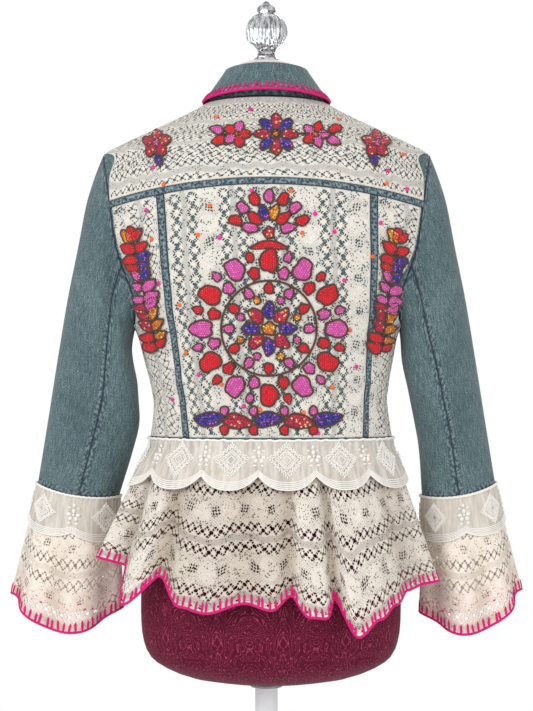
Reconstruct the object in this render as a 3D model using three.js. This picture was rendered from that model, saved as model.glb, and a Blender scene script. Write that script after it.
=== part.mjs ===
// A denim jacket with lace overlays, a lace peplum and bell cuffs, on a limbless dress form.
// Millimetres, +Z up. The origin is on the floor under the pole. The wearer's front faces +Y,
// and the wearer's right side is at +X, so a look along +Y shows the back of the jacket.
import * as THREE from "three";

const { Vector3 } = THREE;
const { degToRad, radToDeg, clamp, lerp, smoothstep } = THREE.MathUtils;

// Cloth and seams
const DENIM = 1.5; // thickness of the denim
const OVERLAY_IN = 1.8; // lace overlays and bands lie from here, over the denim's inner face
const OVERLAY_OUT = 2.8;
const BAND_OUT = 3.2;
const MOTIF_IN = 3.6;
const MOTIF_OUT = 5.6;
const LACE = 1.4; // thickness of the crochet lace of peplum and cuffs
const TRIM = 1.0; // thickness of the organza trim
const GAP = 0.3; // between two pieces at a seam
const ARMHOLE_GAP = 0.5; // from the armhole seam to the sleeve
const SEAM_ANGLE = 0.07; // half a seam gap, as degrees round the body
const BAND_HALF = 4.6; // half the width of the felled bands

// Body: the armhole runs round a loop between these heights
const ARM_TOP = 1344;
const ARM_BOTTOM = 1122;
const WAIST = 967;
const NECK = 1411;
const YOKE_SIDE = 1277; // height of the yoke seam at the armhole
const YOKE_RISE = 27; // how much higher the seam is at the centre
const YOKE_REACH = 200; // distance from the centre where that rise ends
const ARM_ROWS = [1122, 1129, 1146, 1170, 1200, 1233, 1256, 1277, 1299, 1320, 1336, 1344];
const LOW_ROWS = [967, 1000, 1028, 1060, 1095];
const NECK_ROWS = [1355, 1375, 1395, 1411];
const FRONT_PLACKET = 4.2; // half the placket, as degrees round the body

// Peplum
const PEPLUM_TOP = 966.6;
const PEPLUM_FLARE_SIDE = 48;
const PEPLUM_FLARE_DEPTH = 42;
const PEPLUM_LINES = [0, 0.5, 0.537, 0.69, 0.727, 0.87, 0.907, 1];
const PEPLUM_HOLE_ROWS = [1, 3, 5];
const PEPLUM_HOLE = 7; // width of a gap in the lace
const PEPLUM_PITCH = 42; // from one gap to the next, along the cloth
const PEPLUM_OPENING = 1.5; // half the front opening, degrees

// Organza trim at the waist
const TRIM_TOP = 980;
const TRIM_LOW = 918;
const TRIM_CUSP = 18; // how much higher the cusps between scallops are
const TRIM_SCALLOPS = 12;
const TRIM_FIRST_CUSP = 264.4; // angle of one cusp
const TRIM_LINES = [0, 0.14, 0.45, 1];
const TRIM_STAND_OFF = 14; // how far it spans over the valleys between folds
const TRIM_OVER_LACE = 1.4; // how much further out it lies where the peplum is under it

// Sleeves and cuffs
const SLEEVE_RINGS = [0, 0.05, 0.12, 0.21, 0.32, 0.44, 0.57, 0.71, 0.86, 1];
const SLEEVE_BLEND = 0.14; // share of the sleeve that turns from the armhole's loop into an oval
const SLEEVE_TWIST = 14; // how far the back seam moves round from armhole to hem, degrees
const SLEEVE_SEAM_NODE = 7; // the seams run down this node, counted from the shoulder
const SLEEVE_SEAM_GAP = 0.25; // half the gap at a sleeve seam, in degrees round the sleeve
const SLEEVE_HEM_DIP = 6;
const CUFF_LINES = [0, 0.48, 0.525, 0.74, 0.785, 1];
const CUFF_HOLE_ROWS = [1, 3];
const CUFF_COLUMNS = 30;
const CUFF_WAVES = 6;
const CUFF_WAVE = 5;
const CUFF_DIP_BACK = 37;
const CUFF_DIP_FRONT = 20;
const CUFF_TRIM_DROP = 58;
const CUFF_TRIM_CUSP = 10;
const CUFF_TRIM_OUT = 1.2; // how far it lies over the sleeve's hem

// Collar
const COLLAR_THICK = 1.8;
const COLLAR_RISE = 42; // from neck seam to fold
const COLLAR_STAND = 0.85; // share of the rise that the stand fills
const COLLAR_HALF = 165; // the collar runs this far to each side of the centre back, degrees
const COLLAR_SEAM_RISE = 1.9; // the stand starts this far over the neck seam
const COLLAR_SEAM_RISE_FRONT = 1.8; // and this much more at the centre front
const COLLAR_FALL_DROP = 1.5; // the fall's edge lies this far under the neck seam at the sides
const COLLAR_FALL_RISE = { back: 5.5, front: 6.5 }; // and this much higher at the centre
const COLLAR_OVALS = {
  neck: { halfWidth: 75, back: 58, front: 62 },
  fold: { halfWidth: 47, back: 51, front: 53 },
  edge: { halfWidth: 86, back: 76, front: 92 },
};
// The collar's roll over its fold: how far out and how far up each line of it lies.
const COLLAR_ROLL = [
  { out: 2.2, up: 0.6 },
  { out: 5.2, up: 1.2 },
  { out: 7, up: -2 },
];
const COLLAR_FALL_BELLY = { share: 0.6, out: 0.5 };

// Form, pole and base
const FORM_BOTTOM = 660;
const POLE_RADIUS = 14.7;
const FLANGE_RADIUS = 21;
const FLANGE_HEIGHT = 4;
const BASE_RADIUS = 165;
const BASE_EDGE = 9;
const BOSS_RADIUS = 22;
const BOSS_TOP = 60;

const BUTTON_RADIUS = 8.5;
const BUTTON_THICK = 2.6;
const BUTTON_HEIGHTS = [1000, 1067, 1134, 1201, 1268, 1335];

// A smooth curve through a table's rows, read by its first column. It gives the named columns.
function curveTable(columns, rows) {
  const slopes = rows.map((row, i) => {
    const low = rows[Math.max(0, i - 1)];
    const high = rows[Math.min(rows.length - 1, i + 1)];
    return row.map((value, c) => (high[c] - low[c]) / (high[0] - low[0]));
  });
  return (key) => {
    let i = 0;
    while (i < rows.length - 2 && rows[i + 1][0] < key) i += 1;
    const step = rows[i + 1][0] - rows[i][0];
    const t = clamp((key - rows[i][0]) / step, 0, 1);
    const to = t * t * (3 - 2 * t);
    const leave = step * t * (1 - t) ** 2;
    const arrive = step * t * t * (t - 1);
    const values = columns.map((name, c) => {
      const line = lerp(rows[i][c], rows[i + 1][c], to);
      return [name, line + leave * slopes[i][c] + arrive * slopes[i + 1][c]];
    });
    return Object.fromEntries(values);
  };
}

const BODY_COLUMNS = ["height", "halfWidth", "back", "front", "dropBack", "dropFront", "shift"];

// Inner face of the jacket's body. Each row is a ring, which drops towards centre back and front.
const bodySection = curveTable(BODY_COLUMNS, [
  [940, 160, 92, 98, 0, 0, 6],
  [969, 156, 90, 94, 0, 0, 6],
  [1000, 151, 86, 90, 0, 0, 6],
  [1028, 149, 84, 88, 0, 0, 5],
  [1050, 152, 87, 94, 0, 0, 4],
  [1073, 157, 90, 100, 0, 0, 3],
  [1100, 164, 94, 107, 0, 0, 2],
  [1122, 171, 98, 114, 0, 0, 1],
  [1158, 190, 104, 119, 0, 0, 0],
  [1223, 218, 107, 113, 0, 0, 0],
  [1281, 226, 103, 100, 0, 3, 0],
  [1320, 222, 96, 88, 0, 14, 0],
  [1344, 211, 89, 82, 0, 28, 0],
  [1355, 190, 86, 78, 0, 34, 0],
  [1375, 147, 78, 72, 0, 48, 0],
  [1395, 104, 68, 66, -2, 58, 0],
  [1411, 75, 58, 62, -3, 66, 0],
  [1425, 52, 50, 58, -3, 72, 0],
]);

// The armhole seam's distance from the centre line.
const armholeReach = curveTable(["height", "reach"], [
  [1122, 171],
  [1158, 169],
  [1190, 180],
  [1223, 191],
  [1281, 200],
  [1320, 206],
  [1344, 211],
]);

// The dress form. It lies inside the jacket, closest at the shoulders, which carry the jacket.
const formSection = curveTable(BODY_COLUMNS, [
  [663, 62, 40, 40, 0, 0, 5],
  [670, 104, 68, 66, 0, 0, 5],
  [683, 138, 90, 88, 0, 0, 5.7],
  [696, 156, 101, 98, 0, 0, 5.7],
  [716, 165, 108, 103, 0, 0, 5.7],
  [742, 168.5, 110, 106, 0, 0, 5.7],
  [790, 168, 108, 108, 0, 0, 5.7],
  [850, 161, 100, 104, 0, 0, 5.7],
  [910, 151, 88, 94, 0, 0, 5.7],
  [969, 143, 79, 84, 0, 0, 5.7],
  [1028, 138, 75, 79, 0, 0, 5],
  [1073, 146, 81, 91, 0, 0, 3],
  [1122, 158, 88, 105, 0, 0, 1],
  [1180, 170, 94, 110, 0, 0, 0],
  [1230, 184, 96, 103, 0, 0, 0],
  [1281, 194, 92, 90, 0, 3, 0],
  [1320, 200, 86, 76, 0, 14, 0],
  [1344, 201, 80, 67, 0, 28, 0],
  [1355, 188.4, 78, 62, 0, 34, 0],
  [1375, 145.4, 71, 56, 0, 48, 0],
  [1395, 102.4, 61, 53, -2, 58, 0],
  [1411, 66, 50, 50, -3, 62, 0],
  [1430, 43, 41, 42, 0, 24, 0],
  [1452, 40, 40, 40, 0, 0, 0],
]);
const FORM_ROWS = [
  663, 670, 683, 696, 716, 742, 800, 870, 969, 1028, 1073, 1122, 1180, 1230, 1281, 1320, 1344,
  1355, 1375, 1395, 1411, 1430, 1452,
];
const FORM_SIDES = 20;

const SLEEVE_COLUMNS = ["t", "outerX", "outerZ", "innerX", "innerZ", "halfDepth", "forward"];
const sleeveLeft = curveTable(SLEEVE_COLUMNS, [
  [0, 211, 1344, 171, 1122, 50, 0],
  [0.052, 222, 1322, 174.5, 1108, 54, 0],
  [0.139, 233, 1285, 175, 1092, 58, 0],
  [0.28, 245, 1225, 173, 1073, 57, 2],
  [0.438, 259, 1158, 169, 1040, 53, 6],
  [0.609, 272, 1085, 166, 1000, 48, 13],
  [0.786, 285, 1010, 175, 962, 45, 23],
  [1, 301, 919, 194, 902, 44, 35],
]);
const sleeveRight = curveTable(SLEEVE_COLUMNS, [
  [0, 211, 1344, 171, 1122, 50, 0],
  [0.052, 222, 1322, 174.5, 1108, 54, 0],
  [0.139, 233, 1285, 175, 1092, 58, 0],
  [0.28, 245, 1225, 177, 1073, 57, 2],
  [0.438, 259, 1158, 184, 1040, 53, 6],
  [0.609, 272, 1085, 193, 1000, 48, 13],
  [0.786, 285, 1010, 200, 962, 45, 23],
  [1, 301, 919, 205, 902, 44, 35],
]);

// What differs between the two sleeves: side, sections, the long fold behind the armhole, cuff hem.
const SLEEVES = [
  {
    name: "left",
    side: -1,
    section: sleeveLeft,
    fold: { angle: 110, width: 14, depth: 10, from: 0.03, to: 0.6 },
    hem: { outerX: 335, outerZ: 772, innerX: 192, innerZ: 757, halfDepth: 52, forward: 42 },
  },
  {
    name: "right",
    side: 1,
    section: sleeveRight,
    fold: { angle: 108, width: 14, depth: 10, from: 0.03, to: 0.6 },
    hem: { outerX: 335, outerZ: 777, innerX: 205, innerZ: 750, halfDepth: 52, forward: 42 },
  },
];

// The peplum's folds: where each stands round the waist, how far out it is and where its hem ends.
const FOLD_COLUMNS = { angle: 0, out: 1, hem: 2 };
const FOLDS = [
  [0, -12, 800],
  [13, -9, 792],
  [27, -2, 790],
  [40, 20, 775],
  [52, -4, 790],
  [64, 18, 770],
  [74, -2, 785],
  [84, 10, 770],
  [90, 4, 778],
  [96, 10, 770],
  [106, -2, 785],
  [117, 18, 772],
  [129, -4, 790],
  [141, 18, 778],
  [154, -2, 792],
  [168, -14, 808],
  [180, -12, 818],
  [188, 4, 826],
  [196, 27, 829],
  [204, -2, 820],
  [214, 24, 774],
  [226, -6, 810],
  [237, 6, 775],
  [247, 6, 768],
  [261, 1, 781],
  [270, 5, 773],
  [277, -4, 790],
  [282.5, 20, 766],
  [288, 18, 764],
  [293, -6, 785],
  [299, 23, 740],
  [308, 19, 760],
  [317, 10, 775],
  [326, 2, 790],
  [336, 6, 796],
  [345, 17, 798],
  [353, 0, 800],
  [360, -12, 800],
];

// How far the side panels' lace stays back from the side seam and the armhole, in degrees.
const sideLaceInset = curveTable(["height", "degrees"], [
  [967, 1.5],
  [1060, 2],
  [1122, 12.5],
  [1155, 7.5],
  [1205, 3],
  [1277, 2],
]);

// How far the yoke's lace stays back from the armhole and the shoulder seam, in degrees.
const laceInset = curveTable(["height", "degrees"], [
  [1277, 0.9],
  [1314, 4],
  [1344, 14],
  [1358, 9],
  [1375, 3],
  [1411, 2.5],
]);

// Raised motifs that sit on one centre. Petals are cut in as deep as the share says.
const BLOSSOMS = [
  { name: "applique_rosette", x: 3, z: 1120, radius: 34, petals: 8, cut: 0.24, sides: 24, rings: 2, lift: 0 },
  { name: "applique_crest", x: 3, z: 1249, radius: 28, petals: 3, cut: 0.38, sides: 18, rings: 2, lift: 0 },
  { name: "applique_shoulder_left", x: -138, z: 1352, radius: 17, petals: 4, cut: 0.3, sides: 16, rings: 1, lift: 0.7 },
  { name: "applique_shoulder_right", x: 138, z: 1352, radius: 17, petals: 4, cut: 0.3, sides: 16, rings: 1, lift: 0.7 },
];
// Raised sprays that follow a straight stem: its two ends, then its bumps.
const SPRAYS = [
  { name: "applique_garland", from: [-84, 1004], to: [90, 1004], half: 13, bumps: 5, steps: 15, lift: 0.1 },
  { name: "applique_yoke", from: [-60, 1362], to: [84, 1362], half: 19, bumps: 3, steps: 12, lift: 0 },
  { name: "applique_side_left", from: [-136, 1092], to: [-168, 1238], half: 14, bumps: 4, steps: 12, lift: 0.8 },
  { name: "applique_side_right", from: [141, 1088], to: [163, 1236], half: 13, bumps: 4, steps: 12, lift: 0.8 },
];
const SPRAY_WAIST = 0.45; // width of a spray between two bumps, as a share of its full width
const WREATH = { x: 3, z: 1120, inner: 60, outer: 70, leaf: 25, leaves: 12, sides: 36 };

// Cut-glass finial: height and radius of each ring. The rim is fluted.
const FINIAL_RINGS = [
  [1468.3, 16.5],
  [1473.6, 13],
  [1478.9, 11],
  [1484, 12.6],
  [1490.9, 20],
  [1494.8, 25],
  [1502.8, 27],
  [1510.8, 27],
  [1521, 23],
  [1528, 16],
  [1530.7, 10],
  [1534.6, 12.6],
  [1541, 8],
  [1545.9, 2.5],
];
const FINIAL_SIDES = 20;
const FINIAL_FLUTE = 0.05;
const FINIAL_FLUTED = [1490, 1522];
const NECK_CAP_RINGS = [
  [1452.3, 40.5],
  [1457, 39.5],
  [1462, 36],
  [1466, 27],
  [1468, 17],
];

const MATERIALS = {
  denim: { color: 0x5f7b82, roughness: 0.9, metalness: 0 },
  lace: { color: 0xece6d8, roughness: 0.85, metalness: 0 },
  cuff_lace: { color: 0xf1e5d6, roughness: 0.85, metalness: 0 },
  organza: { color: 0xf3ebe0, roughness: 0.6, metalness: 0 },
  applique: { color: 0xc8234c, roughness: 0.45, metalness: 0 },
  metal: { color: 0x8a6a48, roughness: 0.35, metalness: 1 },
  brocade: { color: 0x6d1a3c, roughness: 0.5, metalness: 0 },
  neck_cap: { color: 0xf0e4e6, roughness: 0.5, metalness: 0 },
  glass: { color: 0xf4f8fa, roughness: 0.05, metalness: 0 },
  paint: { color: 0xe9ebec, roughness: 0.35, metalness: 0 },
};

// Geometry

// A closed geometry from points and triangles, turned so that its faces point out.
function geometryOf(points, faces) {
  let volume = 0;
  const normal = new Vector3();
  for (const [a, b, c] of faces) {
    volume += points[a].dot(normal.crossVectors(points[b], points[c]));
  }
  const turned = volume < 0 ? faces.map(([a, b, c]) => [a, c, b]) : faces;
  const geometry = new THREE.BufferGeometry().setFromPoints(points);
  geometry.setIndex(turned.flat());
  geometry.computeVertexNormals();
  return geometry;
}

// A point moved out from a surface along its normal. turn is -1 where the two directions run
// round the other way.
function movedOut(surface, a, b, out, turn = 1, stepA = 0.6, stepB = 0.6) {
  const alongA = surface(a + stepA, b).sub(surface(a - stepA, b));
  const alongB = surface(a, b + stepB).sub(surface(a, b - stepB));
  const normal = alongA.cross(alongB).normalize();
  return surface(a, b).addScaledVector(normal, out * turn);
}

// A wall of cloth over a grid of lines. pointAt(u, v, out) gives a point of its inner (out 0)
// or outer (out 1) face. A closed wall joins its last column to its first. Holes go through.
function clothWall(pointAt, us, vs, { closed = false, isHole = () => false } = {}) {
  const columns = closed ? us.length : us.length - 1;
  const points = [];
  const faces = [];
  for (const u of us) {
    for (const v of vs) {
      points.push(pointAt(u, v, 0), pointAt(u, v, 1));
    }
  }
  const at = (i, j, face) => ((i % us.length) * vs.length + j) * 2 + face;
  const kept = (i, j) => {
    const column = closed ? (i + columns) % columns : i;
    return column >= 0 && column < columns && j >= 0 && j < vs.length - 1 && !isHole(column, j);
  };
  const quad = (a, b, c, d) => faces.push([a, b, c], [a, c, d]);
  for (let i = 0; i < columns; i += 1) {
    for (let j = 0; j < vs.length - 1; j += 1) {
      if (!kept(i, j)) continue;
      quad(at(i, j, 1), at(i + 1, j, 1), at(i + 1, j + 1, 1), at(i, j + 1, 1));
      faces.push([at(i, j, 0), at(i + 1, j + 1, 0), at(i + 1, j, 0)]);
      faces.push([at(i, j, 0), at(i, j + 1, 0), at(i + 1, j + 1, 0)]);
      if (!kept(i, j - 1)) quad(at(i, j, 0), at(i + 1, j, 0), at(i + 1, j, 1), at(i, j, 1));
      if (!kept(i, j + 1)) quad(at(i + 1, j + 1, 0), at(i, j + 1, 0), at(i, j + 1, 1), at(i + 1, j + 1, 1));
      if (!kept(i - 1, j)) quad(at(i, j + 1, 0), at(i, j, 0), at(i, j, 1), at(i, j + 1, 1));
      if (!kept(i + 1, j)) quad(at(i + 1, j, 0), at(i + 1, j + 1, 0), at(i + 1, j + 1, 1), at(i + 1, j, 1));
    }
  }
  return geometryOf(points, faces);
}

// A solid through closed rings of points, with flat ends.
function ringSolid(rings) {
  const sides = rings[0].length;
  const points = rings.flat();
  const faces = [];
  for (let r = 0; r + 1 < rings.length; r += 1) {
    for (let i = 0; i < sides; i += 1) {
      const next = (i + 1) % sides;
      const [a, b] = [r * sides + i, r * sides + next];
      faces.push([a, b, b + sides], [a, b + sides, a + sides]);
    }
  }
  for (const [ring, first, turn] of [[rings[0], 0, -1], [rings.at(-1), points.length - sides, 1]]) {
    const centre = points.length;
    points.push(ring.reduce((sum, p) => sum.add(p), new Vector3()).divideScalar(sides));
    for (let i = 0; i < sides; i += 1) {
      const [a, b] = [first + i, first + ((i + 1) % sides)];
      faces.push(turn > 0 ? [centre, a, b] : [centre, b, a]);
    }
  }
  return geometryOf(points, faces);
}

// A raised patch round a centre: rings that follow its outline, over a plain underside.
function patch(pointAt, sides, rings) {
  const points = [pointAt(0, 0, 0), pointAt(0, 0, 1)];
  const faces = [];
  for (let r = 1; r <= rings; r += 1) {
    for (let i = 0; i < sides; i += 1) {
      points.push(pointAt((i * 360) / sides, r / rings, 0), pointAt((i * 360) / sides, r / rings, 1));
    }
  }
  const at = (r, i, face) => 2 + ((r - 1) * sides + (i % sides)) * 2 + face;
  for (let i = 0; i < sides; i += 1) {
    faces.push([1, at(1, i, 1), at(1, i + 1, 1)], [0, at(1, i + 1, 0), at(1, i, 0)]);
    for (let r = 1; r < rings; r += 1) {
      faces.push([at(r, i, 1), at(r + 1, i, 1), at(r + 1, i + 1, 1)]);
      faces.push([at(r, i, 1), at(r + 1, i + 1, 1), at(r, i + 1, 1)]);
      faces.push([at(r, i, 0), at(r + 1, i + 1, 0), at(r + 1, i, 0)]);
      faces.push([at(r, i, 0), at(r, i + 1, 0), at(r + 1, i + 1, 0)]);
    }
    faces.push([at(rings, i, 0), at(rings, i + 1, 0), at(rings, i + 1, 1)]);
    faces.push([at(rings, i, 0), at(rings, i + 1, 1), at(rings, i, 1)]);
  }
  return geometryOf(points, faces);
}

// Even lines from one value to another.
function lines(from, to, steps) {
  return Array.from({ length: steps + 1 }, (_, i) => lerp(from, to, i / steps));
}

const jacket = new THREE.Group();
const materials = new Map(
  Object.entries(MATERIALS).map(([name, look]) => [name, new THREE.MeshStandardMaterial(look)]),
);

// Puts a piece on the model and gives its mesh back.
function addPiece(name, material, geometry) {
  const mesh = new THREE.Mesh(geometry, materials.get(material));
  mesh.name = name;
  jacket.add(mesh);
  return mesh;
}

// Body surface

// A point on the ring of a section table.
function ringPoint(section, height, angle) {
  const s = section(height);
  const sine = Math.sin(degToRad(angle));
  const isFront = sine > 0;
  return new Vector3(
    s.shift + s.halfWidth * Math.cos(degToRad(angle)),
    (isFront ? s.front : s.back) * sine,
    height - (isFront ? s.dropFront : s.dropBack) * sine * sine,
  );
}

const bodySurface = (angle, height) => ringPoint(bodySection, height, angle);
const bodyPoint = (height, angle, out) => movedOut(bodySurface, angle, height, out);

// Rows tilt up towards the centre back, so that the row of the yoke seam follows its curve.
function backHeight(row, angle) {
  const s = bodySection(row);
  const x = s.shift + s.halfWidth * Math.cos(degToRad(angle));
  const rise = YOKE_RISE * Math.max(0, 1 - (x / YOKE_REACH) ** 2);
  const share = row < YOKE_SIDE
    ? (row - WAIST) / (YOKE_SIDE - WAIST)
    : (NECK - row) / (NECK - YOKE_SIDE);
  return row + rise * clamp(share, 0, 1);
}

const backPoint = (row, angle, out) => bodyPoint(backHeight(row, angle), angle, out);

// The angle on the back where a row reaches a distance from the centre line.
function backAngle(row, x) {
  const s = bodySection(row);
  return 360 - radToDeg(Math.acos(clamp((x - s.shift) / s.halfWidth, -1, 1)));
}

// A point of the armhole's edge. face is -1 on the back and 1 on the front, and gap moves it
// away from the seam: in over the body, or out on the sleeve where it is negative.
function armholePoint(height, side, face, gap, out) {
  const s = bodySection(height);
  const lean = Math.acos(clamp(armholeReach(height).reach / s.halfWidth, -1, 1));
  const turned = side > 0 ? radToDeg(lean) : 180 - radToDeg(lean);
  const angle = face > 0 ? turned : 360 - turned;
  const point = bodySurface(angle, height);
  const normal = bodyPoint(height, angle, 1).sub(point);
  normal.x = 0;
  point.x -= side * gap;
  point.y += (face * GAP) / 2;
  return point.addScaledVector(normal.normalize(), out);
}

// The outer edge of a back or front panel: the side seam, the armhole or the shoulder seam.
function panelEdge(row, side, face, out) {
  if (row >= ARM_BOTTOM && row <= ARM_TOP) return armholePoint(row, side, face, GAP, out);
  const seam = side > 0 ? SEAM_ANGLE : 180 - SEAM_ANGLE;
  return bodyPoint(row, face > 0 ? seam : 360 - seam, out);
}

// The angle of that edge, to space a panel's columns by.
function edgeAngle(row, side, face) {
  const s = bodySection(row);
  const isArmhole = row > ARM_BOTTOM && row < ARM_TOP;
  const lean = isArmhole ? radToDeg(Math.acos(clamp(armholeReach(row).reach / s.halfWidth, -1, 1))) : 0;
  const turned = side > 0 ? lean : 180 - lean;
  return face > 0 ? turned : (360 - turned) % 360 || 360;
}

// The back's princess seams, as angles on each row.
function bandAngle(row, side) {
  const high = side > 0 ? 134 : -133;
  const low = side > 0 ? 124 : -99;
  return backAngle(row, lerp(low, high, clamp((row - WAIST) / (YOKE_SIDE - WAIST), 0, 1)));
}

// Columns of the back from left to right: side panel, centre panel, side panel.
const SIDE_COLUMNS = 4;
const CENTRE_COLUMNS = 6;
const BACK_COLUMNS = 2 * SIDE_COLUMNS + CENTRE_COLUMNS;

function backColumnAngle(row, column) {
  const stops = [
    edgeAngle(row, -1, -1),
    bandAngle(Math.min(row, YOKE_SIDE), -1),
    bandAngle(Math.min(row, YOKE_SIDE), 1),
    edgeAngle(row, 1, -1),
  ];
  if (column <= SIDE_COLUMNS) return lerp(stops[0], stops[1], column / SIDE_COLUMNS);
  if (column <= SIDE_COLUMNS + CENTRE_COLUMNS) {
    return lerp(stops[1], stops[2], (column - SIDE_COLUMNS) / CENTRE_COLUMNS);
  }
  return lerp(stops[2], stops[3], (column - SIDE_COLUMNS - CENTRE_COLUMNS) / SIDE_COLUMNS);
}

// A piece of the back between two columns, from an inner to an outer level. inset moves each
// side in, in degrees, and the piece's own edge at a seam is half a seam gap back.
function backPiece(firstColumn, lastColumn, rows, levels, inset = [null, null]) {
  const pointAt = (column, row, face) => {
    const out = levels[face];
    const atFirst = column === firstColumn;
    const atLast = column === lastColumn;
    const ownInset = atFirst ? inset[0] : inset[1];
    if ((atFirst && column === 0) || (atLast && column === BACK_COLUMNS)) {
      const side = atFirst ? -1 : 1;
      if (ownInset === null) return panelEdge(row, side, -1, out);
      return backPoint(row, backColumnAngle(row, column) - side * ownInset(row), out);
    }
    const nudge = (atFirst ? 1 : 0) - (atLast ? 1 : 0);
    const back = ownInset === null ? SEAM_ANGLE : ownInset(row);
    return backPoint(row, backColumnAngle(row, column) + nudge * back, out);
  };
  const columns = lines(firstColumn, lastColumn, lastColumn - firstColumn);
  return clothWall(pointAt, columns, rows);
}

// Degrees round the back that a length in millimetres takes near a column.
const backDegrees = (length) => (row) => radToDeg(length / (0.62 * bodySection(row).halfWidth + 40));

const BACK_ROWS = [...LOW_ROWS, ...ARM_ROWS.filter((row) => row < YOKE_SIDE), YOKE_SIDE - GAP / 2];
const YOKE_ROWS = [YOKE_SIDE + GAP / 2, ...ARM_ROWS.filter((row) => row > YOKE_SIDE), ...NECK_ROWS];
const SEAM_COLUMNS = [0, SIDE_COLUMNS, SIDE_COLUMNS + CENTRE_COLUMNS, BACK_COLUMNS];

function addBack() {
  const denim = [0, DENIM];
  const overlay = [OVERLAY_IN, OVERLAY_OUT];
  const band = [OVERLAY_IN, BAND_OUT];
  const besideBand = backDegrees(BAND_HALF + 2 * GAP);
  const besideEdge = (row) => sideLaceInset(row).degrees;
  const atEdge = (row) => laceInset(row).degrees;
  const lowRows = [TRIM_TOP + 1, ...BACK_ROWS.slice(1, -1), YOKE_SIDE - BAND_HALF - GAP];
  const highRows = [YOKE_SIDE + BAND_HALF + GAP, ...YOKE_ROWS.slice(1, -1), NECK - 2];
  const [left, leftBand, rightBand, right] = SEAM_COLUMNS;
  addPiece("back_side_left", "denim", backPiece(left, leftBand, BACK_ROWS, denim));
  addPiece("back_centre", "denim", backPiece(leftBand, rightBand, BACK_ROWS, denim));
  addPiece("back_side_right", "denim", backPiece(rightBand, right, BACK_ROWS, denim));
  addPiece("yoke_back", "denim", backPiece(left, right, YOKE_ROWS, denim));
  const lace = (name, from, to, rows, inset) =>
    addPiece(name, "lace", backPiece(from, to, rows, overlay, inset));
  lace("back_side_lace_left", left, leftBand, lowRows, [besideEdge, besideBand]);
  lace("back_centre_lace", leftBand, rightBand, lowRows, [besideBand, besideBand]);
  lace("back_side_lace_right", rightBand, right, lowRows, [besideBand, besideEdge]);
  lace("yoke_lace", left, right, highRows, [atEdge, atEdge]);
  addBands(band);
}

// The felled bands over the yoke seam and the two princess seams.
function addBands(levels) {
  const yokeColumns = lines(0, BACK_COLUMNS, BACK_COLUMNS);
  const yokeBand = (column, row, face) => {
    const side = column === 0 ? -1 : 1;
    const edge = column === 0 || column === BACK_COLUMNS;
    return backPoint(row, backColumnAngle(row, column) - (edge ? side * SEAM_ANGLE * 6 : 0), levels[face]);
  };
  const yokeRows = [YOKE_SIDE - BAND_HALF, YOKE_SIDE, YOKE_SIDE + BAND_HALF];
  addPiece("yoke_band", "denim", clothWall(yokeBand, yokeColumns, yokeRows));
  const rows = [TRIM_TOP + 1, ...BACK_ROWS.slice(1, -1), YOKE_SIDE - BAND_HALF - GAP];
  for (const [name, side] of [["left", -1], ["right", 1]]) {
    const width = backDegrees(BAND_HALF);
    const band = (u, row, face) => backPoint(row, bandAngle(row, side) + u * width(row), levels[face]);
    addPiece("back_band_" + name, "denim", clothWall(band, [-1, 0, 1], rows));
  }
}

const FRONT_ROWS = [...LOW_ROWS, ...ARM_ROWS, ...NECK_ROWS];
const FRONT_COLUMNS = 4;

// The two fronts, the placket over their edges and its buttons. They face away in the photo.
function addFronts() {
  for (const [name, side] of [["left", -1], ["right", 1]]) {
    const front = (u, row, face) => {
      const out = face * DENIM;
      if (u === 0) return panelEdge(row, side, 1, out);
      const middle = 90 - side * SEAM_ANGLE;
      return bodyPoint(row, lerp(edgeAngle(row, side, 1), middle, u), out);
    };
    addPiece("front_" + name, "denim", clothWall(front, lines(0, 1, FRONT_COLUMNS), FRONT_ROWS));
  }
  const levels = [OVERLAY_IN, OVERLAY_IN + DENIM];
  const placket = (u, row, face) => bodyPoint(row, 90 + u * FRONT_PLACKET, levels[face]);
  const placketRows = [TRIM_TOP + 1, ...FRONT_ROWS.slice(1, -1), NECK - 2];
  addPiece("placket", "denim", clothWall(placket, [-1, 0, 1], placketRows));
  BUTTON_HEIGHTS.forEach((height, i) => {
    const disc = new THREE.CylinderGeometry(BUTTON_RADIUS, BUTTON_RADIUS, BUTTON_THICK, 12);
    disc.deleteAttribute("uv");
    const button = addPiece("button_" + (i + 1), "metal", disc);
    const seat = bodyPoint(height, 90, levels[1] + GAP + BUTTON_THICK / 2);
    const outward = bodyPoint(height, 90, 1).sub(bodyPoint(height, 90, 0));
    button.position.copy(seat);
    button.quaternion.setFromUnitVectors(new Vector3(0, 1, 0), outward.normalize());
  });
}

// Collar

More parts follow.
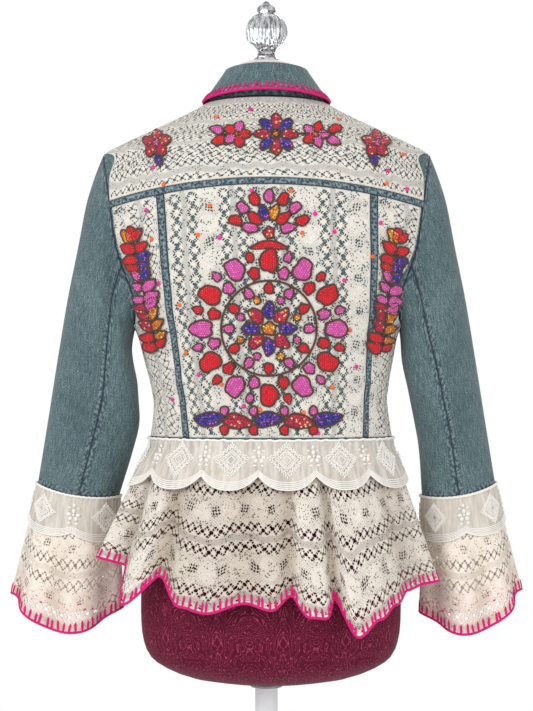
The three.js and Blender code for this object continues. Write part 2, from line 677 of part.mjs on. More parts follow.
// Neck seam, fold and fall edge of the collar, as ovals that drop towards the front. line runs
// from 0 at the neck seam over the fold to 2 at the fall's edge.
function collarPoint(angle, line) {
  const cosine = Math.cos(degToRad(angle));
  const sine = Math.sin(degToRad(angle));
  const side = sine > 0 ? "front" : "back";
  const towardsMiddle = sine ** 2;
  const neckHeight = bodySurface(angle, NECK).z;
  const seamRise = side === "front" ? COLLAR_SEAM_RISE_FRONT * towardsMiddle : 0;
  const oval = (name, z) => {
    const { halfWidth, [side]: depth } = COLLAR_OVALS[name];
    return new Vector3(halfWidth * cosine, depth * sine, z);
  };
  const neck = oval("neck", neckHeight + COLLAR_SEAM_RISE + seamRise);
  const fold = oval("fold", neckHeight + COLLAR_RISE);
  const edge = oval("edge", neckHeight - COLLAR_FALL_DROP + COLLAR_FALL_RISE[side] * towardsMiddle);
  if (line <= COLLAR_STAND) return neck.lerp(fold, line);
  const outward = new Vector3(cosine, sine, 0);
  const rolled = COLLAR_ROLL.map(({ out, up }) =>
    fold.clone().addScaledVector(outward, out).add(new Vector3(0, 0, up)));
  const belly = fold.clone().lerp(edge, COLLAR_FALL_BELLY.share);
  belly.addScaledVector(outward, COLLAR_FALL_BELLY.out);
  const curl = [neck.clone().lerp(fold, COLLAR_STAND + 0.006), ...rolled, belly, edge];
  const place = clamp((line - 1) * (curl.length - 1), 0, curl.length - 1);
  const first = Math.min(Math.floor(place), curl.length - 2);
  return curl[first].clone().lerp(curl[first + 1], place - first);
}

function addCollar() {
  const angles = lines(270 - COLLAR_HALF, 270 + COLLAR_HALF, 20);
  const stand = (angle, v, face) => movedOut(collarPoint, angle, v, face * COLLAR_THICK, 1, 2, 0.02);
  addPiece("collar_stand", "denim", clothWall(stand, angles, [0, 0.42, COLLAR_STAND - 0.004]));
  const fall = (angle, v, face) => movedOut(collarPoint, angle, v, face * COLLAR_THICK, -1, 2, 0.05);
  addPiece("collar_fall", "denim", clothWall(fall, angles, [1, 1.2, 1.4, 1.6, 1.8, 1.94]));
}

// Sleeves

// A point of a sleeve's outer face. angle 0 is the outer side, 90 the back, 180 the inner side.
function sleeveSurface(sleeve) {
  const { section, side, fold } = sleeve;
  return (angle, t) => {
    const s = section(clamp(t, 0, 1));
    const turned = degToRad(angle - SLEEVE_TWIST * t * Math.sin(degToRad(angle)));
    const middle = new Vector3((s.outerX + s.innerX) / 2, s.forward, (s.outerZ + s.innerZ) / 2);
    const reach = new Vector3((s.outerX - s.innerX) / 2, 0, (s.outerZ - s.innerZ) / 2);
    const point = middle.addScaledVector(reach, Math.cos(turned));
    point.y -= s.halfDepth * Math.sin(turned);
    point.z -= SLEEVE_HEM_DIP * t * t * Math.sin(turned) ** 2;
    const across = Math.exp(-(((angle - fold.angle) / fold.width) ** 2));
    const along = smoothstep(t, fold.from, fold.from + 0.08) * (1 - smoothstep(t, fold.to - 0.2, fold.to));
    point.y += fold.depth * across * along;
    point.x *= side;
    const share = smoothstep(t, 0, SLEEVE_BLEND);
    if (share >= 1) return point;
    const height = lerp(ARM_BOTTOM, ARM_TOP, 0.5 + Math.cos(degToRad(angle)) / 2);
    const face = Math.sin(degToRad(angle)) >= 0 ? -1 : 1;
    return armholePoint(height, side, face, -ARMHOLE_GAP, DENIM).lerp(point, share);
  };
}

// The sleeve's lines round: one at each row of the armhole, down the back and up the front.
const HALF_ROUND = ARM_ROWS.map((height) => {
  const middle = (ARM_TOP + ARM_BOTTOM) / 2;
  return radToDeg(Math.acos((height - middle) / ((ARM_TOP - ARM_BOTTOM) / 2)));
}).reverse();

function sleevePoint(sleeve, surface) {
  return (node, t, face, nudge = 0) => {
    const count = HALF_ROUND.length - 1;
    const wrapped = ((node % (2 * count)) + 2 * count) % (2 * count);
    const isBack = wrapped <= count;
    const angle = isBack ? HALF_ROUND[wrapped] : 360 - HALF_ROUND[2 * count - wrapped];
    if (t === 0) {
      const height = ARM_ROWS[isBack ? count - wrapped : wrapped - count];
      return armholePoint(height, sleeve.side, isBack ? -1 : 1, -ARMHOLE_GAP, face * DENIM);
    }
    return movedOut(surface, angle + nudge, t, (face - 1) * DENIM, sleeve.side, 5, 0.03);
  };
}

// A cuff's lace flounce: the same oval as the sleeve's hem at line 0, and wider at line 1.
function cuffSurface(sleeve) {
  const { section, side, hem } = sleeve;
  const top = section(1);
  return (angle, v) => {
    const s = Object.fromEntries(
      Object.keys(hem).map((name) => [name, lerp(top[name], hem[name], v)]),
    );
    const sine = Math.sin(degToRad(angle));
    const wave = CUFF_WAVE * clamp(v, 0, 1) * Math.cos(degToRad(CUFF_WAVES * angle + 70));
    const cosine = Math.cos(degToRad(angle));
    const spread = (s.outerX - s.innerX) / 2 + wave;
    const dip = sine > 0 ? lerp(SLEEVE_HEM_DIP, CUFF_DIP_BACK, v) : lerp(SLEEVE_HEM_DIP, CUFF_DIP_FRONT, v);
    return new Vector3(
      side * ((s.outerX + s.innerX) / 2 + spread * cosine),
      s.forward - (s.halfDepth + wave) * sine,
      (s.outerZ + s.innerZ) / 2 + ((s.outerZ - s.innerZ) / 2) * cosine - dip * sine * sine - GAP,
    );
  };
}

function addSleeve(sleeve) {
  const surface = sleeveSurface(sleeve);
  const pointAt = sleevePoint(sleeve, surface);
  const seam = SLEEVE_SEAM_NODE;
  const round = 2 * (HALF_ROUND.length - 1);
  const halves = [
    ["_top", -seam, seam],
    ["_under", seam, round - seam],
  ];
  for (const [half, from, to] of halves) {
    const nudged = (node, t, face) => {
      const turn = node === from ? 1 : node === to ? -1 : 0;
      const point = pointAt(node, t, face, turn * SLEEVE_SEAM_GAP);
      if (turn === 0 || t > 0) return point;
      const inward = pointAt(node + turn, t, face).sub(point);
      return point.addScaledVector(inward.normalize(), GAP / 2);
    };
    const nodes = lines(from, to, to - from);
    addPiece("sleeve_" + sleeve.name + half, "denim", clothWall(nudged, nodes, SLEEVE_RINGS));
  }
}

function addCuff(sleeve) {
  const surface = cuffSurface(sleeve);
  const pitch = 3; // one column in three is a gap, where its row is
  const half = CUFF_COLUMNS / 2;
  const isHole = (i, j) => i % pitch === 1 && CUFF_HOLE_ROWS.includes(j);
  const angles = lines(0, 360, CUFF_COLUMNS);
  const gapAngle = 0.2;
  for (const [name, first, last] of [["_a", 0, half], ["_b", half, CUFF_COLUMNS]]) {
    const pointAt = (column, v, face) => {
      const nudge = column === first ? gapAngle : column === last ? -gapAngle : 0;
      return movedOut(surface, angles[column] + nudge, v, (face - 1) * LACE, sleeve.side, 4, 0.03);
    };
    const columns = lines(first, last, last - first);
    const piece = clothWall(pointAt, columns, CUFF_LINES, { isHole: (i, j) => isHole(i + first, j) });
    addPiece("cuff_flounce_" + sleeve.name + name, "cuff_lace", piece);
  }
  const trim = (angle, v, face) => {
    const scallop = Math.abs(Math.sin(degToRad(2 * angle)));
    const drop = CUFF_TRIM_DROP - CUFF_TRIM_CUSP * (1 - scallop) ** 1.6;
    const length = surface(angle, 0).distanceTo(surface(angle, 1));
    const out = CUFF_TRIM_OUT + face * TRIM;
    return movedOut(surface, angle, (v * drop) / length, out, sleeve.side, 4, 0.03);
  };
  const trimAngles = lines(0, 360, 24).slice(0, -1);
  addPiece("cuff_trim_" + sleeve.name, "organza", clothWall(trim, trimAngles, [0, 0.5, 1], { closed: true }));
}

// Peplum and its trim

// The fold table between two of its rows, eased.
function foldAt(angle) {
  const turned = ((angle % 360) + 360) % 360;
  let i = 0;
  while (i < FOLDS.length - 2 && FOLDS[i + 1][FOLD_COLUMNS.angle] < turned) i += 1;
  const share = smoothstep(turned, FOLDS[i][FOLD_COLUMNS.angle], FOLDS[i + 1][FOLD_COLUMNS.angle]);
  const between = (column) => lerp(FOLDS[i][column], FOLDS[i + 1][column], share);
  return { out: between(FOLD_COLUMNS.out), hem: between(FOLD_COLUMNS.hem) };
}

const foldGrowth = (v) => 0.1 + 0.9 * clamp(v, 0, 1) ** 0.7;

// A point of the flared skirt under the waist, moved out along the oval's own normal.
function skirtPoint(angle, v, out, height) {
  const s = bodySection(WAIST);
  const halfWidth = s.halfWidth + PEPLUM_FLARE_SIDE * v;
  const depth = (Math.sin(degToRad(angle)) > 0 ? s.front : s.back) + PEPLUM_FLARE_DEPTH * v;
  const cosine = Math.cos(degToRad(angle));
  const sine = Math.sin(degToRad(angle));
  const normal = new Vector3(cosine / halfWidth, sine / depth, 0).normalize();
  return new Vector3(s.shift + halfWidth * cosine, depth * sine, height).addScaledVector(normal, out);
}

function peplumSurface(angle, v) {
  const fold = foldAt(angle);
  return skirtPoint(angle, v, fold.out * foldGrowth(v), lerp(PEPLUM_TOP, fold.hem, v));
}

// Angles that are spaced evenly along the cloth on one of its lines: gap, plain, plain.
function clothAngles(surface, line, from, to) {
  const fine = lines(from, to, 400);
  const lengths = [0];
  for (let i = 1; i < fine.length; i += 1) {
    lengths.push(lengths[i - 1] + surface(fine[i - 1], line).distanceTo(surface(fine[i], line)));
  }
  const total = lengths.at(-1);
  const angleAt = (length) => {
    const i = clamp(lengths.findIndex((value) => value >= length), 1, fine.length - 1);
    const share = (length - lengths[i - 1]) / (lengths[i] - lengths[i - 1]);
    return lerp(fine[i - 1], fine[i], clamp(share, 0, 1));
  };
  const repeats = Math.round(total / PEPLUM_PITCH);
  const pitch = total / repeats;
  const plain = (pitch - PEPLUM_HOLE) / 2;
  const stops = Array.from({ length: repeats }, (_, i) => [
    i * pitch + plain / 2,
    i * pitch + plain / 2 + PEPLUM_HOLE,
    i * pitch + 1.5 * plain + PEPLUM_HOLE,
  ]).flat();
  return [from, ...stops.map(angleAt), to];
}

function addPeplum() {
  const pieces = [
    ["peplum_front_right", SEAM_ANGLE, 90 - PEPLUM_OPENING],
    ["peplum_front_left", 90 + PEPLUM_OPENING, 180 - SEAM_ANGLE],
    ["peplum_back", 180 + SEAM_ANGLE, 360 - SEAM_ANGLE],
  ];
  for (const [name, from, to] of pieces) {
    const angles = clothAngles(peplumSurface, 0.7, from, to);
    const isHole = (i, j) => i % 3 === 1 && PEPLUM_HOLE_ROWS.includes(j);
    const pointAt = (angle, v, face) => movedOut(peplumSurface, angle, v, face * LACE, -1, 1, 0.03);
    addPiece(name, "lace", clothWall(pointAt, angles, PEPLUM_LINES, { isHole }));
  }
}

// The organza trim, over the bodice above the waist and over the peplum's folds below it.
function addWaistTrim() {
  const ring = (angle) => skirtPoint(angle, 0.2, 0, TRIM_LOW);
  const fine = lines(TRIM_FIRST_CUSP, TRIM_FIRST_CUSP + 360, 360);
  const lengths = [0];
  for (let i = 1; i < fine.length; i += 1) {
    lengths.push(lengths[i - 1] + ring(fine[i - 1]).distanceTo(ring(fine[i])));
  }
  const scallopAt = (angle) => {
    const turned = (((angle - TRIM_FIRST_CUSP) % 360) + 360) % 360;
    const i = Math.min(Math.floor(turned), fine.length - 2);
    const length = lerp(lengths[i], lengths[i + 1], turned - i);
    return (((length / lengths.at(-1)) * TRIM_SCALLOPS) % 1) * 2 - 1;
  };
  const surface = (angle, v) => {
    const fold = foldAt(angle);
    const low = TRIM_LOW + TRIM_CUSP * Math.abs(scallopAt(angle)) ** 2.4;
    const height = lerp(TRIM_TOP, low, v);
    const below = clamp((PEPLUM_TOP - height) / (PEPLUM_TOP - fold.hem), 0, 1);
    const growth = height > PEPLUM_TOP
      ? (foldGrowth(0) * (TRIM_TOP - height)) / (TRIM_TOP - PEPLUM_TOP)
      : foldGrowth(below);
    const over = TRIM_OVER_LACE * smoothstep(below, 0, 0.08);
    const out = OVERLAY_IN + over + growth * (fold.out / 2 + TRIM_STAND_OFF);
    return skirtPoint(angle, below, out, height);
  };
  const pointAt = (angle, v, face) => {
    const normal = skirtPoint(angle, 0.1, 1, 0).sub(skirtPoint(angle, 0.1, 0, 0));
    return surface(angle, v).addScaledVector(normal, face * TRIM);
  };
  const angles = lines(90 + PEPLUM_OPENING, 450 - PEPLUM_OPENING, 6 * TRIM_SCALLOPS);
  addPiece("waist_trim", "organza", clothWall(pointAt, angles, TRIM_LINES));
}

// Raised motifs

// The body's back at a place in the view: distance from the centre line, and height.
function onBack(x, z, out) {
  let height = z;
  let angle = 270;
  for (let pass = 0; pass < 12; pass += 1) {
    const s = bodySection(height);
    angle = backAngle(height, x);
    height = z + s.dropBack * Math.sin(degToRad(angle)) ** 2;
  }
  return bodyPoint(height, angle, out);
}

function addMotifs() {
  const level = (face, lift) => (face === 0 ? MOTIF_IN : MOTIF_OUT) + lift;
  for (const { name, x, z, radius, petals, cut, sides, rings, lift } of BLOSSOMS) {
    const pointAt = (angle, share, face) => {
      const petal = 1 - cut * (0.5 - 0.5 * Math.cos(degToRad(petals * angle - 90)));
      const r = radius * petal * share;
      const [cosine, sine] = [Math.cos(degToRad(angle)), Math.sin(degToRad(angle))];
      return onBack(x + r * cosine, z + r * sine, level(face, lift));
    };
    addPiece(name, "applique", patch(pointAt, sides, rings));
  }
  for (const { name, from, to, half, bumps, steps, lift } of SPRAYS) {
    const along = new THREE.Vector2(to[0] - from[0], to[1] - from[1]);
    const across = new THREE.Vector2(-along.y, along.x).normalize();
    const pointAt = (u, v, face) => {
      const bump = SPRAY_WAIST + (1 - SPRAY_WAIST) * Math.abs(Math.sin(Math.PI * bumps * u));
      const end = u === 0 || u === 1 ? 0.3 : 1;
      const side = v * half * bump * end;
      const place = new THREE.Vector2(...from).addScaledVector(along, u).addScaledVector(across, side);
      return onBack(place.x, place.y, level(face, lift));
    };
    addPiece(name, "applique", clothWall(pointAt, lines(0, 1, steps), [-1, 0, 1]));
  }
  const wreath = (angle, v, face) => {
    const tip = Math.max(0, Math.cos(degToRad(WREATH.leaves * angle))) ** 0.7;
    const r = lerp(WREATH.inner, WREATH.outer + WREATH.leaf * tip, v);
    const [cosine, sine] = [Math.cos(degToRad(angle)), Math.sin(degToRad(angle))];
    return onBack(WREATH.x + r * cosine, WREATH.z + r * sine, level(face, 0));
  };
  const wreathAngles = lines(0, 360, WREATH.sides).slice(0, -1);
  addPiece("applique_wreath", "applique", clothWall(wreath, wreathAngles, [0, 0.5, 1], { closed: true }));
}

// Form and stand

const circle = (radius, z, sides, flute = 0) =>
  Array.from({ length: sides }, (_, i) => {
    const r = radius * (1 - (i % 2) * flute);
    const angle = (i * 2 * Math.PI) / sides;
    return new Vector3(r * Math.cos(angle), r * Math.sin(angle), z);
  });

function addForm() {
  const ringAt = (height) =>
    Array.from({ length: FORM_SIDES }, (_, i) => ringPoint(formSection, height, (i * 360) / FORM_SIDES));
  const foot = circle(30, FORM_BOTTOM, FORM_SIDES);
  addPiece("form_body", "brocade", ringSolid([foot, ...FORM_ROWS.map(ringAt)]));
  const cap = NECK_CAP_RINGS.map(([z, radius]) => circle(radius, z, FORM_SIDES));
  addPiece("form_neck_cap", "neck_cap", ringSolid(cap));
  const finial = FINIAL_RINGS.map(([z, radius]) => {
    const isFluted = z > FINIAL_FLUTED[0] && z < FINIAL_FLUTED[1];
    return circle(radius, z, FINIAL_SIDES, isFluted ? FINIAL_FLUTE : 0);
  });
  addPiece("finial", "glass", ringSolid(finial));
}

function addStand() {
  const flangeTop = FORM_BOTTOM - GAP;
  const flangeLow = FORM_BOTTOM - FLANGE_HEIGHT;
  const pole = circleRings([[BOSS_TOP + GAP, POLE_RADIUS], [flangeLow - GAP, POLE_RADIUS]], 24);
  addPiece("pole", "paint", pole);
  const flange = circleRings([[flangeLow, FLANGE_RADIUS], [flangeTop, FLANGE_RADIUS]], 24);
  addPiece("form_flange", "metal", flange);
  const base = [
    [0, BASE_RADIUS],
    [BASE_EDGE - 2, BASE_RADIUS],
    [BASE_EDGE, BASE_RADIUS - 4],
    [BASE_EDGE + 6, BOSS_RADIUS + 10],
    [BASE_EDGE + 14, BOSS_RADIUS],
    [BOSS_TOP, BOSS_RADIUS - 2],
  ];
  addPiece("base", "paint", circleRings(base, 24));
}

function circleRings(rows, sides) {
  return ringSolid(rows.map(([z, radius]) => circle(radius, z, sides)));
}

addBack();
addFronts();
addCollar();
for (const sleeve of SLEEVES) {
  addSleeve(sleeve);
  addCuff(sleeve);
}
addPeplum();
addWaistTrim();
addMotifs();
addForm();
addStand();

export default jacket;
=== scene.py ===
"""Looks of a denim jacket with lace overlays, a lace peplum and bell cuffs, on a dress form.

Sizes are millimetres, +Z up, with the origin on the floor under the pole. The wearer's back
faces -Y. Every cloth piece is a thin wall on its own surface, with a UV map in millimetres.
"""
import logging
import math
from dataclasses import dataclass, field
from enum import Enum
from typing import Callable

import bmesh
import bpy
import numpy as np
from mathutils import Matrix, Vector


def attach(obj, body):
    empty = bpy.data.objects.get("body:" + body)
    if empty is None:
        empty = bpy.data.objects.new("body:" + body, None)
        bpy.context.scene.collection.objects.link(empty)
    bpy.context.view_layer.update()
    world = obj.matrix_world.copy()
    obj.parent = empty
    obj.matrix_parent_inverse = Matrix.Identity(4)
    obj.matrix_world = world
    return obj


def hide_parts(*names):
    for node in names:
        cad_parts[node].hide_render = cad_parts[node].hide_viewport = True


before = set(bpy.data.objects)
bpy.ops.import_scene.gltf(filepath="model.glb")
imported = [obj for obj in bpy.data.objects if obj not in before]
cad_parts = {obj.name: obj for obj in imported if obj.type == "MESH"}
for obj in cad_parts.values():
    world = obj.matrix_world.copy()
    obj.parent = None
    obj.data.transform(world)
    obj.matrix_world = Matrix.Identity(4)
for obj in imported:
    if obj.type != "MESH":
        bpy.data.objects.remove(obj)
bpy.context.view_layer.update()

LOG = logging.getLogger("jacket")
Array = np.ndarray

MM = 0.001
UV_NAME = "cloth"

# Walls: a thickness, or the levels of the inner and outer face over the body
DENIM = 1.5
OVERLAY = (1.8, 2.8)
BAND = (1.8, 3.2)
LACE = 1.4
TRIM = 1.0
GAP = 0.3
ARMHOLE_GAP = 0.5
SEAM_ANGLE = 0.07  # half of the gap at a seam, in degrees
BAND_HALF = 4.6

ARM_TOP = 1344.0
ARM_BOTTOM = 1122.0
WAIST = 967.0
NECK = 1411.0
YOKE_SIDE = 1277.0
YOKE_RISE = 27.0
YOKE_REACH = 200.0
TRIM_TOP = 980.0
HALF_TURN = 180.0
FULL_TURN = 360.0
VIEW_STEPS = 12


def smoothstep(value: Array, low: float, high: float) -> Array:
    """Eased share of the way from low to high."""
    share = np.clip((value - low) / (high - low), 0, 1)
    return share * share * (3 - 2 * share)


def mix(start: Array, end: Array, share: Array) -> Array:
    """Value between start and end."""
    return start + (end - start) * share


def curve_table(rows: list[tuple[float, ...]]) -> Callable[[Array], Array]:
    """A smooth curve through a table's rows, read by its first column.

    Args:
        rows: one tuple for each row, in rising order of the first value.

    Returns:
        A function from keys to rows, with the columns on the last axis.
    """
    table = np.array(rows, float)
    keys = table[:, 0]
    places = np.arange(len(keys))
    low = np.maximum(places - 1, 0)
    high = np.minimum(places + 1, len(keys) - 1)
    slopes = (table[high] - table[low]) / (keys[high] - keys[low])[:, None]

    def read(key: Array) -> Array:
        """Row at each key."""
        key = np.asarray(key, float)
        i = np.clip(np.searchsorted(keys, key, side="left") - 1, 0, len(keys) - 2)
        step = keys[i + 1] - keys[i]
        t = np.clip((key - keys[i]) / step, 0, 1)
        to = (t * t * (3 - 2 * t))[..., None]
        leave = (step * t * (1 - t) ** 2)[..., None]
        arrive = (step * t * t * (t - 1))[..., None]
        return mix(table[i], table[i + 1], to) + leave * slopes[i] + arrive * slopes[i + 1]

    return read


# Columns: height, half width, back depth, front depth, back drop, front drop, shift to the side
BODY_SECTION = curve_table([
    (940, 160, 92, 98, 0, 0, 6), (969, 156, 90, 94, 0, 0, 6), (1000, 151, 86, 90, 0, 0, 6),
    (1028, 149, 84, 88, 0, 0, 5), (1050, 152, 87, 94, 0, 0, 4), (1073, 157, 90, 100, 0, 0, 3),
    (1100, 164, 94, 107, 0, 0, 2), (1122, 171, 98, 114, 0, 0, 1), (1158, 190, 104, 119, 0, 0, 0),
    (1223, 218, 107, 113, 0, 0, 0), (1281, 226, 103, 100, 0, 3, 0), (1320, 222, 96, 88, 0, 14, 0),
    (1344, 211, 89, 82, 0, 28, 0), (1355, 190, 86, 78, 0, 34, 0), (1375, 147, 78, 72, 0, 48, 0),
    (1395, 104, 68, 66, -2, 58, 0), (1411, 75, 58, 62, -3, 66, 0), (1425, 52, 50, 58, -3, 72, 0),
])
FORM_SECTION = curve_table([
    (663, 62, 40, 40, 0, 0, 5), (670, 104, 68, 66, 0, 0, 5), (683, 138, 90, 88, 0, 0, 5.7),
    (696, 156, 101, 98, 0, 0, 5.7), (716, 165, 108, 103, 0, 0, 5.7),
    (742, 168.5, 110, 106, 0, 0, 5.7), (790, 168, 108, 108, 0, 0, 5.7),
    (850, 161, 100, 104, 0, 0, 5.7), (910, 151, 88, 94, 0, 0, 5.7), (969, 143, 79, 84, 0, 0, 5.7),
    (1028, 138, 75, 79, 0, 0, 5), (1073, 146, 81, 91, 0, 0, 3), (1122, 158, 88, 105, 0, 0, 1),
    (1180, 170, 94, 110, 0, 0, 0), (1230, 184, 96, 103, 0, 0, 0), (1281, 194, 92, 90, 0, 3, 0),
    (1320, 200, 86, 76, 0, 14, 0), (1344, 201, 80, 67, 0, 28, 0), (1355, 188.4, 78, 62, 0, 34, 0),
    (1375, 145.4, 71, 56, 0, 48, 0), (1395, 102.4, 61, 53, -2, 58, 0),
    (1411, 66, 50, 50, -3, 62, 0), (1430, 43, 41, 42, 0, 24, 0), (1452, 40, 40, 40, 0, 0, 0),
])
# Columns: height, the armhole seam's distance from the centre line
ARMHOLE_REACH = curve_table([
    (1122, 171), (1158, 169), (1190, 180), (1223, 191), (1281, 200), (1320, 206), (1344, 211),
])
# Columns: height, degrees that the lace stays back from the panel's outer edge
SIDE_LACE_INSET = curve_table([
    (967, 1.5), (1060, 2), (1122, 12.5), (1155, 7.5), (1205, 3), (1277, 2),
])
YOKE_LACE_INSET = curve_table([
    (1277, 0.9), (1314, 4), (1344, 14), (1358, 9), (1375, 3), (1411, 2.5),
])


@dataclass(frozen=True)
class Crease:
    """A soft trough or ridge on the body, as seen along Y."""

    x: float
    z: float
    lean: float
    length: float
    width: float
    height: float
    front: bool = False

    def rise(self, points: Array) -> Array:
        """How far it lifts each point, in millimetres."""
        lean = math.radians(self.lean)
        dx, dz = points[..., 0] - self.x, points[..., 2] - self.z
        along = (dx * math.cos(lean) + dz * math.sin(lean)) / self.length
        across = (dz * math.cos(lean) - dx * math.sin(lean)) / self.width
        side = points[..., 1] > 0
        return self.height * np.exp(-(along**2) - across**2) * (side == self.front)


BODY_CREASES = (
    Crease(-176, 1168, 62, 46, 9, -2.2), Crease(-160, 1140, 40, 40, 8, 1.6),
    Crease(174, 1172, 118, 50, 9, -2.2), Crease(158, 1138, 138, 38, 8, 1.6),
    Crease(-60, 1032, 4, 60, 11, -1.4), Crease(70, 1040, -6, 66, 12, -1.6),
    Crease(8, 1062, 2, 80, 14, 1.2), Crease(-112, 1052, 24, 34, 8, 1.2),
    Crease(118, 1058, -22, 36, 8, 1.2),
    Crease(-130, 1180, 60, 60, 12, -2.6, True), Crease(132, 1176, 120, 56, 12, -2.6, True),
    Crease(-100, 1120, 42, 60, 13, 2.2, True), Crease(96, 1112, 136, 64, 14, 2.2, True),
    Crease(-60, 1036, 8, 56, 11, -2, True), Crease(64, 1030, -10, 60, 12, -2, True),
    Crease(-70, 1236, 84, 80, 14, 1.6, True), Crease(74, 1244, 95, 76, 15, 1.6, True),
)


def ring_point(section: Callable[[Array], Array], height: Array, angle: Array) -> Array:
    """Point on the ring of a section table, at each height and angle in degrees."""
    height, angle = np.broadcast_arrays(np.asarray(height, float), np.asarray(angle, float))
    row = section(height)
    sine, cosine = compass(angle)
    front = sine > 0
    depth = np.where(front, row[..., 3], row[..., 2])
    drop = np.where(front, row[..., 5], row[..., 4])
    across = row[..., 6] + row[..., 1] * cosine
    return np.stack([across, depth * sine, height - drop * sine * sine], -1)


def unit(vectors: Array) -> Array:
    """The same directions, with a length of one."""
    return vectors / np.maximum(np.linalg.norm(vectors, axis=-1, keepdims=True), 1e-9)


def run_of(line: Array) -> Array:
    """How far along a line each of its points lies."""
    steps = np.linalg.norm(np.diff(line, axis=0), axis=1)
    return np.concatenate([[0], np.cumsum(steps)])


def compass(degrees: Array) -> tuple[Array, Array]:
    """Sine and cosine of an angle in degrees."""
    return np.sin(np.radians(degrees)), np.cos(np.radians(degrees))


def moved_out(surface: Callable, a: Array, b: Array, out: Array, turn: float = 1,
              step_a: float = 0.6, step_b: float = 0.6) -> Array:
    """Points moved out from a surface along its normal.

    Args:
        surface: gives a point for each pair of places.
        a: places along the first direction.
        b: places along the second direction.
        out: distance along the normal.
        turn: -1 where the two directions run the other way round.
        step_a: step that the normal is taken over, along the first direction.
        step_b: the same, along the second direction.

    Returns:
        The moved points.
    """
    along_a = surface(a + step_a, b) - surface(a - step_a, b)
    along_b = surface(a, b + step_b) - surface(a, b - step_b)
    normal = unit(np.cross(along_a, along_b))
    return surface(a, b) + normal * (np.asarray(out, float) * turn)[..., None]


def body_surface(angle: Array, height: Array) -> Array:
    """Inner face of the jacket's body, with no creases."""
    return ring_point(BODY_SECTION, height, angle)


def body_point(height: Array, angle: Array, out: Array) -> Array:
    """Point of the body, moved out by the cloth's level and by its creases."""
    flat = body_surface(angle, height)
    lift = sum(crease.rise(flat) for crease in BODY_CREASES)
    return moved_out(body_surface, angle, height, lift + out)


def back_height(row: Array, angle: Array) -> Array:
    """Height of a tilted row, so that the row of the yoke seam follows its curve."""
    s = BODY_SECTION(row)
    x = s[..., 6] + s[..., 1] * np.cos(np.radians(angle))
    rise = YOKE_RISE * np.maximum(0, 1 - (x / YOKE_REACH) ** 2)
    below = (row - WAIST) / (YOKE_SIDE - WAIST)
    above = (NECK - row) / (NECK - YOKE_SIDE)
    return row + rise * np.clip(np.where(row < YOKE_SIDE, below, above), 0, 1)


def back_point(row: Array, angle: Array, out: Array) -> Array:
    """Point of the back on a tilted row."""
    row, angle = np.broadcast_arrays(np.asarray(row, float), np.asarray(angle, float))
    return body_point(back_height(row, angle), angle, out)


def back_angle(row: Array, x: Array) -> Array:
    """Angle on the back where a row reaches a distance from the centre line."""
    s = BODY_SECTION(row)
    return FULL_TURN - np.degrees(np.arccos(np.clip((x - s[..., 6]) / s[..., 1], -1, 1)))


def armhole_lean(height: Array) -> Array:
    """Degrees between the side of the body and the armhole seam."""
    reach = ARMHOLE_REACH(height)[..., 1]
    return np.degrees(np.arccos(np.clip(reach / BODY_SECTION(height)[..., 1], -1, 1)))


def armhole_point(height: Array, side: int, face: Array, gap: float, out: Array) -> Array:
    """Point of the armhole's edge.

    Args:
        height: heights along the edge.
        side: -1 at the left, 1 at the right.
        face: -1 on the back, 1 on the front.
        gap: distance from the seam, in over the body, or out on the sleeve where negative.
        out: level of the cloth.

    Returns:
        The points.
    """
    height, face = np.broadcast_arrays(np.asarray(height, float), np.asarray(face, float))
    lean = armhole_lean(height)
    turned = lean if side > 0 else HALF_TURN - lean
    angle = np.where(face > 0, turned, FULL_TURN - turned)
    point = body_surface(angle, height)
    normal = moved_out(body_surface, angle, height, 1) - point
    normal[..., 0] = 0
    point[..., 0] -= side * gap
    point[..., 1] += face * GAP / 2
    return point + unit(normal) * np.asarray(out, float)[..., None]


def panel_edge(row: Array, side: int, face: int, out: Array) -> Array:
    """Outer edge of a back or front panel: side seam, armhole or shoulder seam."""
    seam = SEAM_ANGLE if side > 0 else HALF_TURN - SEAM_ANGLE
    plain = body_point(row, seam if face > 0 else FULL_TURN - seam, out)
    hole = armhole_point(row, side, face, GAP, out)
    at_hole = (row >= ARM_BOTTOM) & (row <= ARM_TOP)
    return np.where(at_hole[..., None], hole, plain)


def edge_angle(row: Array, side: int, face: int) -> Array:
    """Angle of that edge, to space a panel's columns by."""
    lean = np.where((row > ARM_BOTTOM) & (row < ARM_TOP), armhole_lean(row), 0.0)
    turned = lean if side > 0 else HALF_TURN - lean
    return turned if face > 0 else FULL_TURN - turned


def band_angle(row: Array, side: int) -> Array:
    """Angle of a back princess seam."""
    low, high = (124.0, 134.0) if side > 0 else (-99.0, -133.0)
    share = np.clip((row - WAIST) / (YOKE_SIDE - WAIST), 0, 1)
    return back_angle(row, mix(low, high, share))


def on_back(x: Array, z: Array, out: Array) -> Array:
    """Point of the back at a place in the view: distance from the centre line, and height."""
    x, z = np.broadcast_arrays(np.asarray(x, float), np.asarray(z, float))
    height = z.copy()
    angle = np.full_like(z, 270.0)
    for _ in range(VIEW_STEPS):
        s = BODY_SECTION(height)
        angle = back_angle(height, x)
        height = z + s[..., 4] * np.sin(np.radians(angle)) ** 2
    return body_point(height, angle, out)


# Colours and nodes


def linear(colour: int) -> tuple[float, float, float, float]:
    """Linear colour of an sRGB hex value."""
    parts = [((colour >> shift) & 255) / 255 for shift in (16, 8, 0)]
    curve = [p / 12.92 if p <= 0.04045 else ((p + 0.055) / 1.055) ** 2.4 for p in parts]
    return (*curve, 1.0)


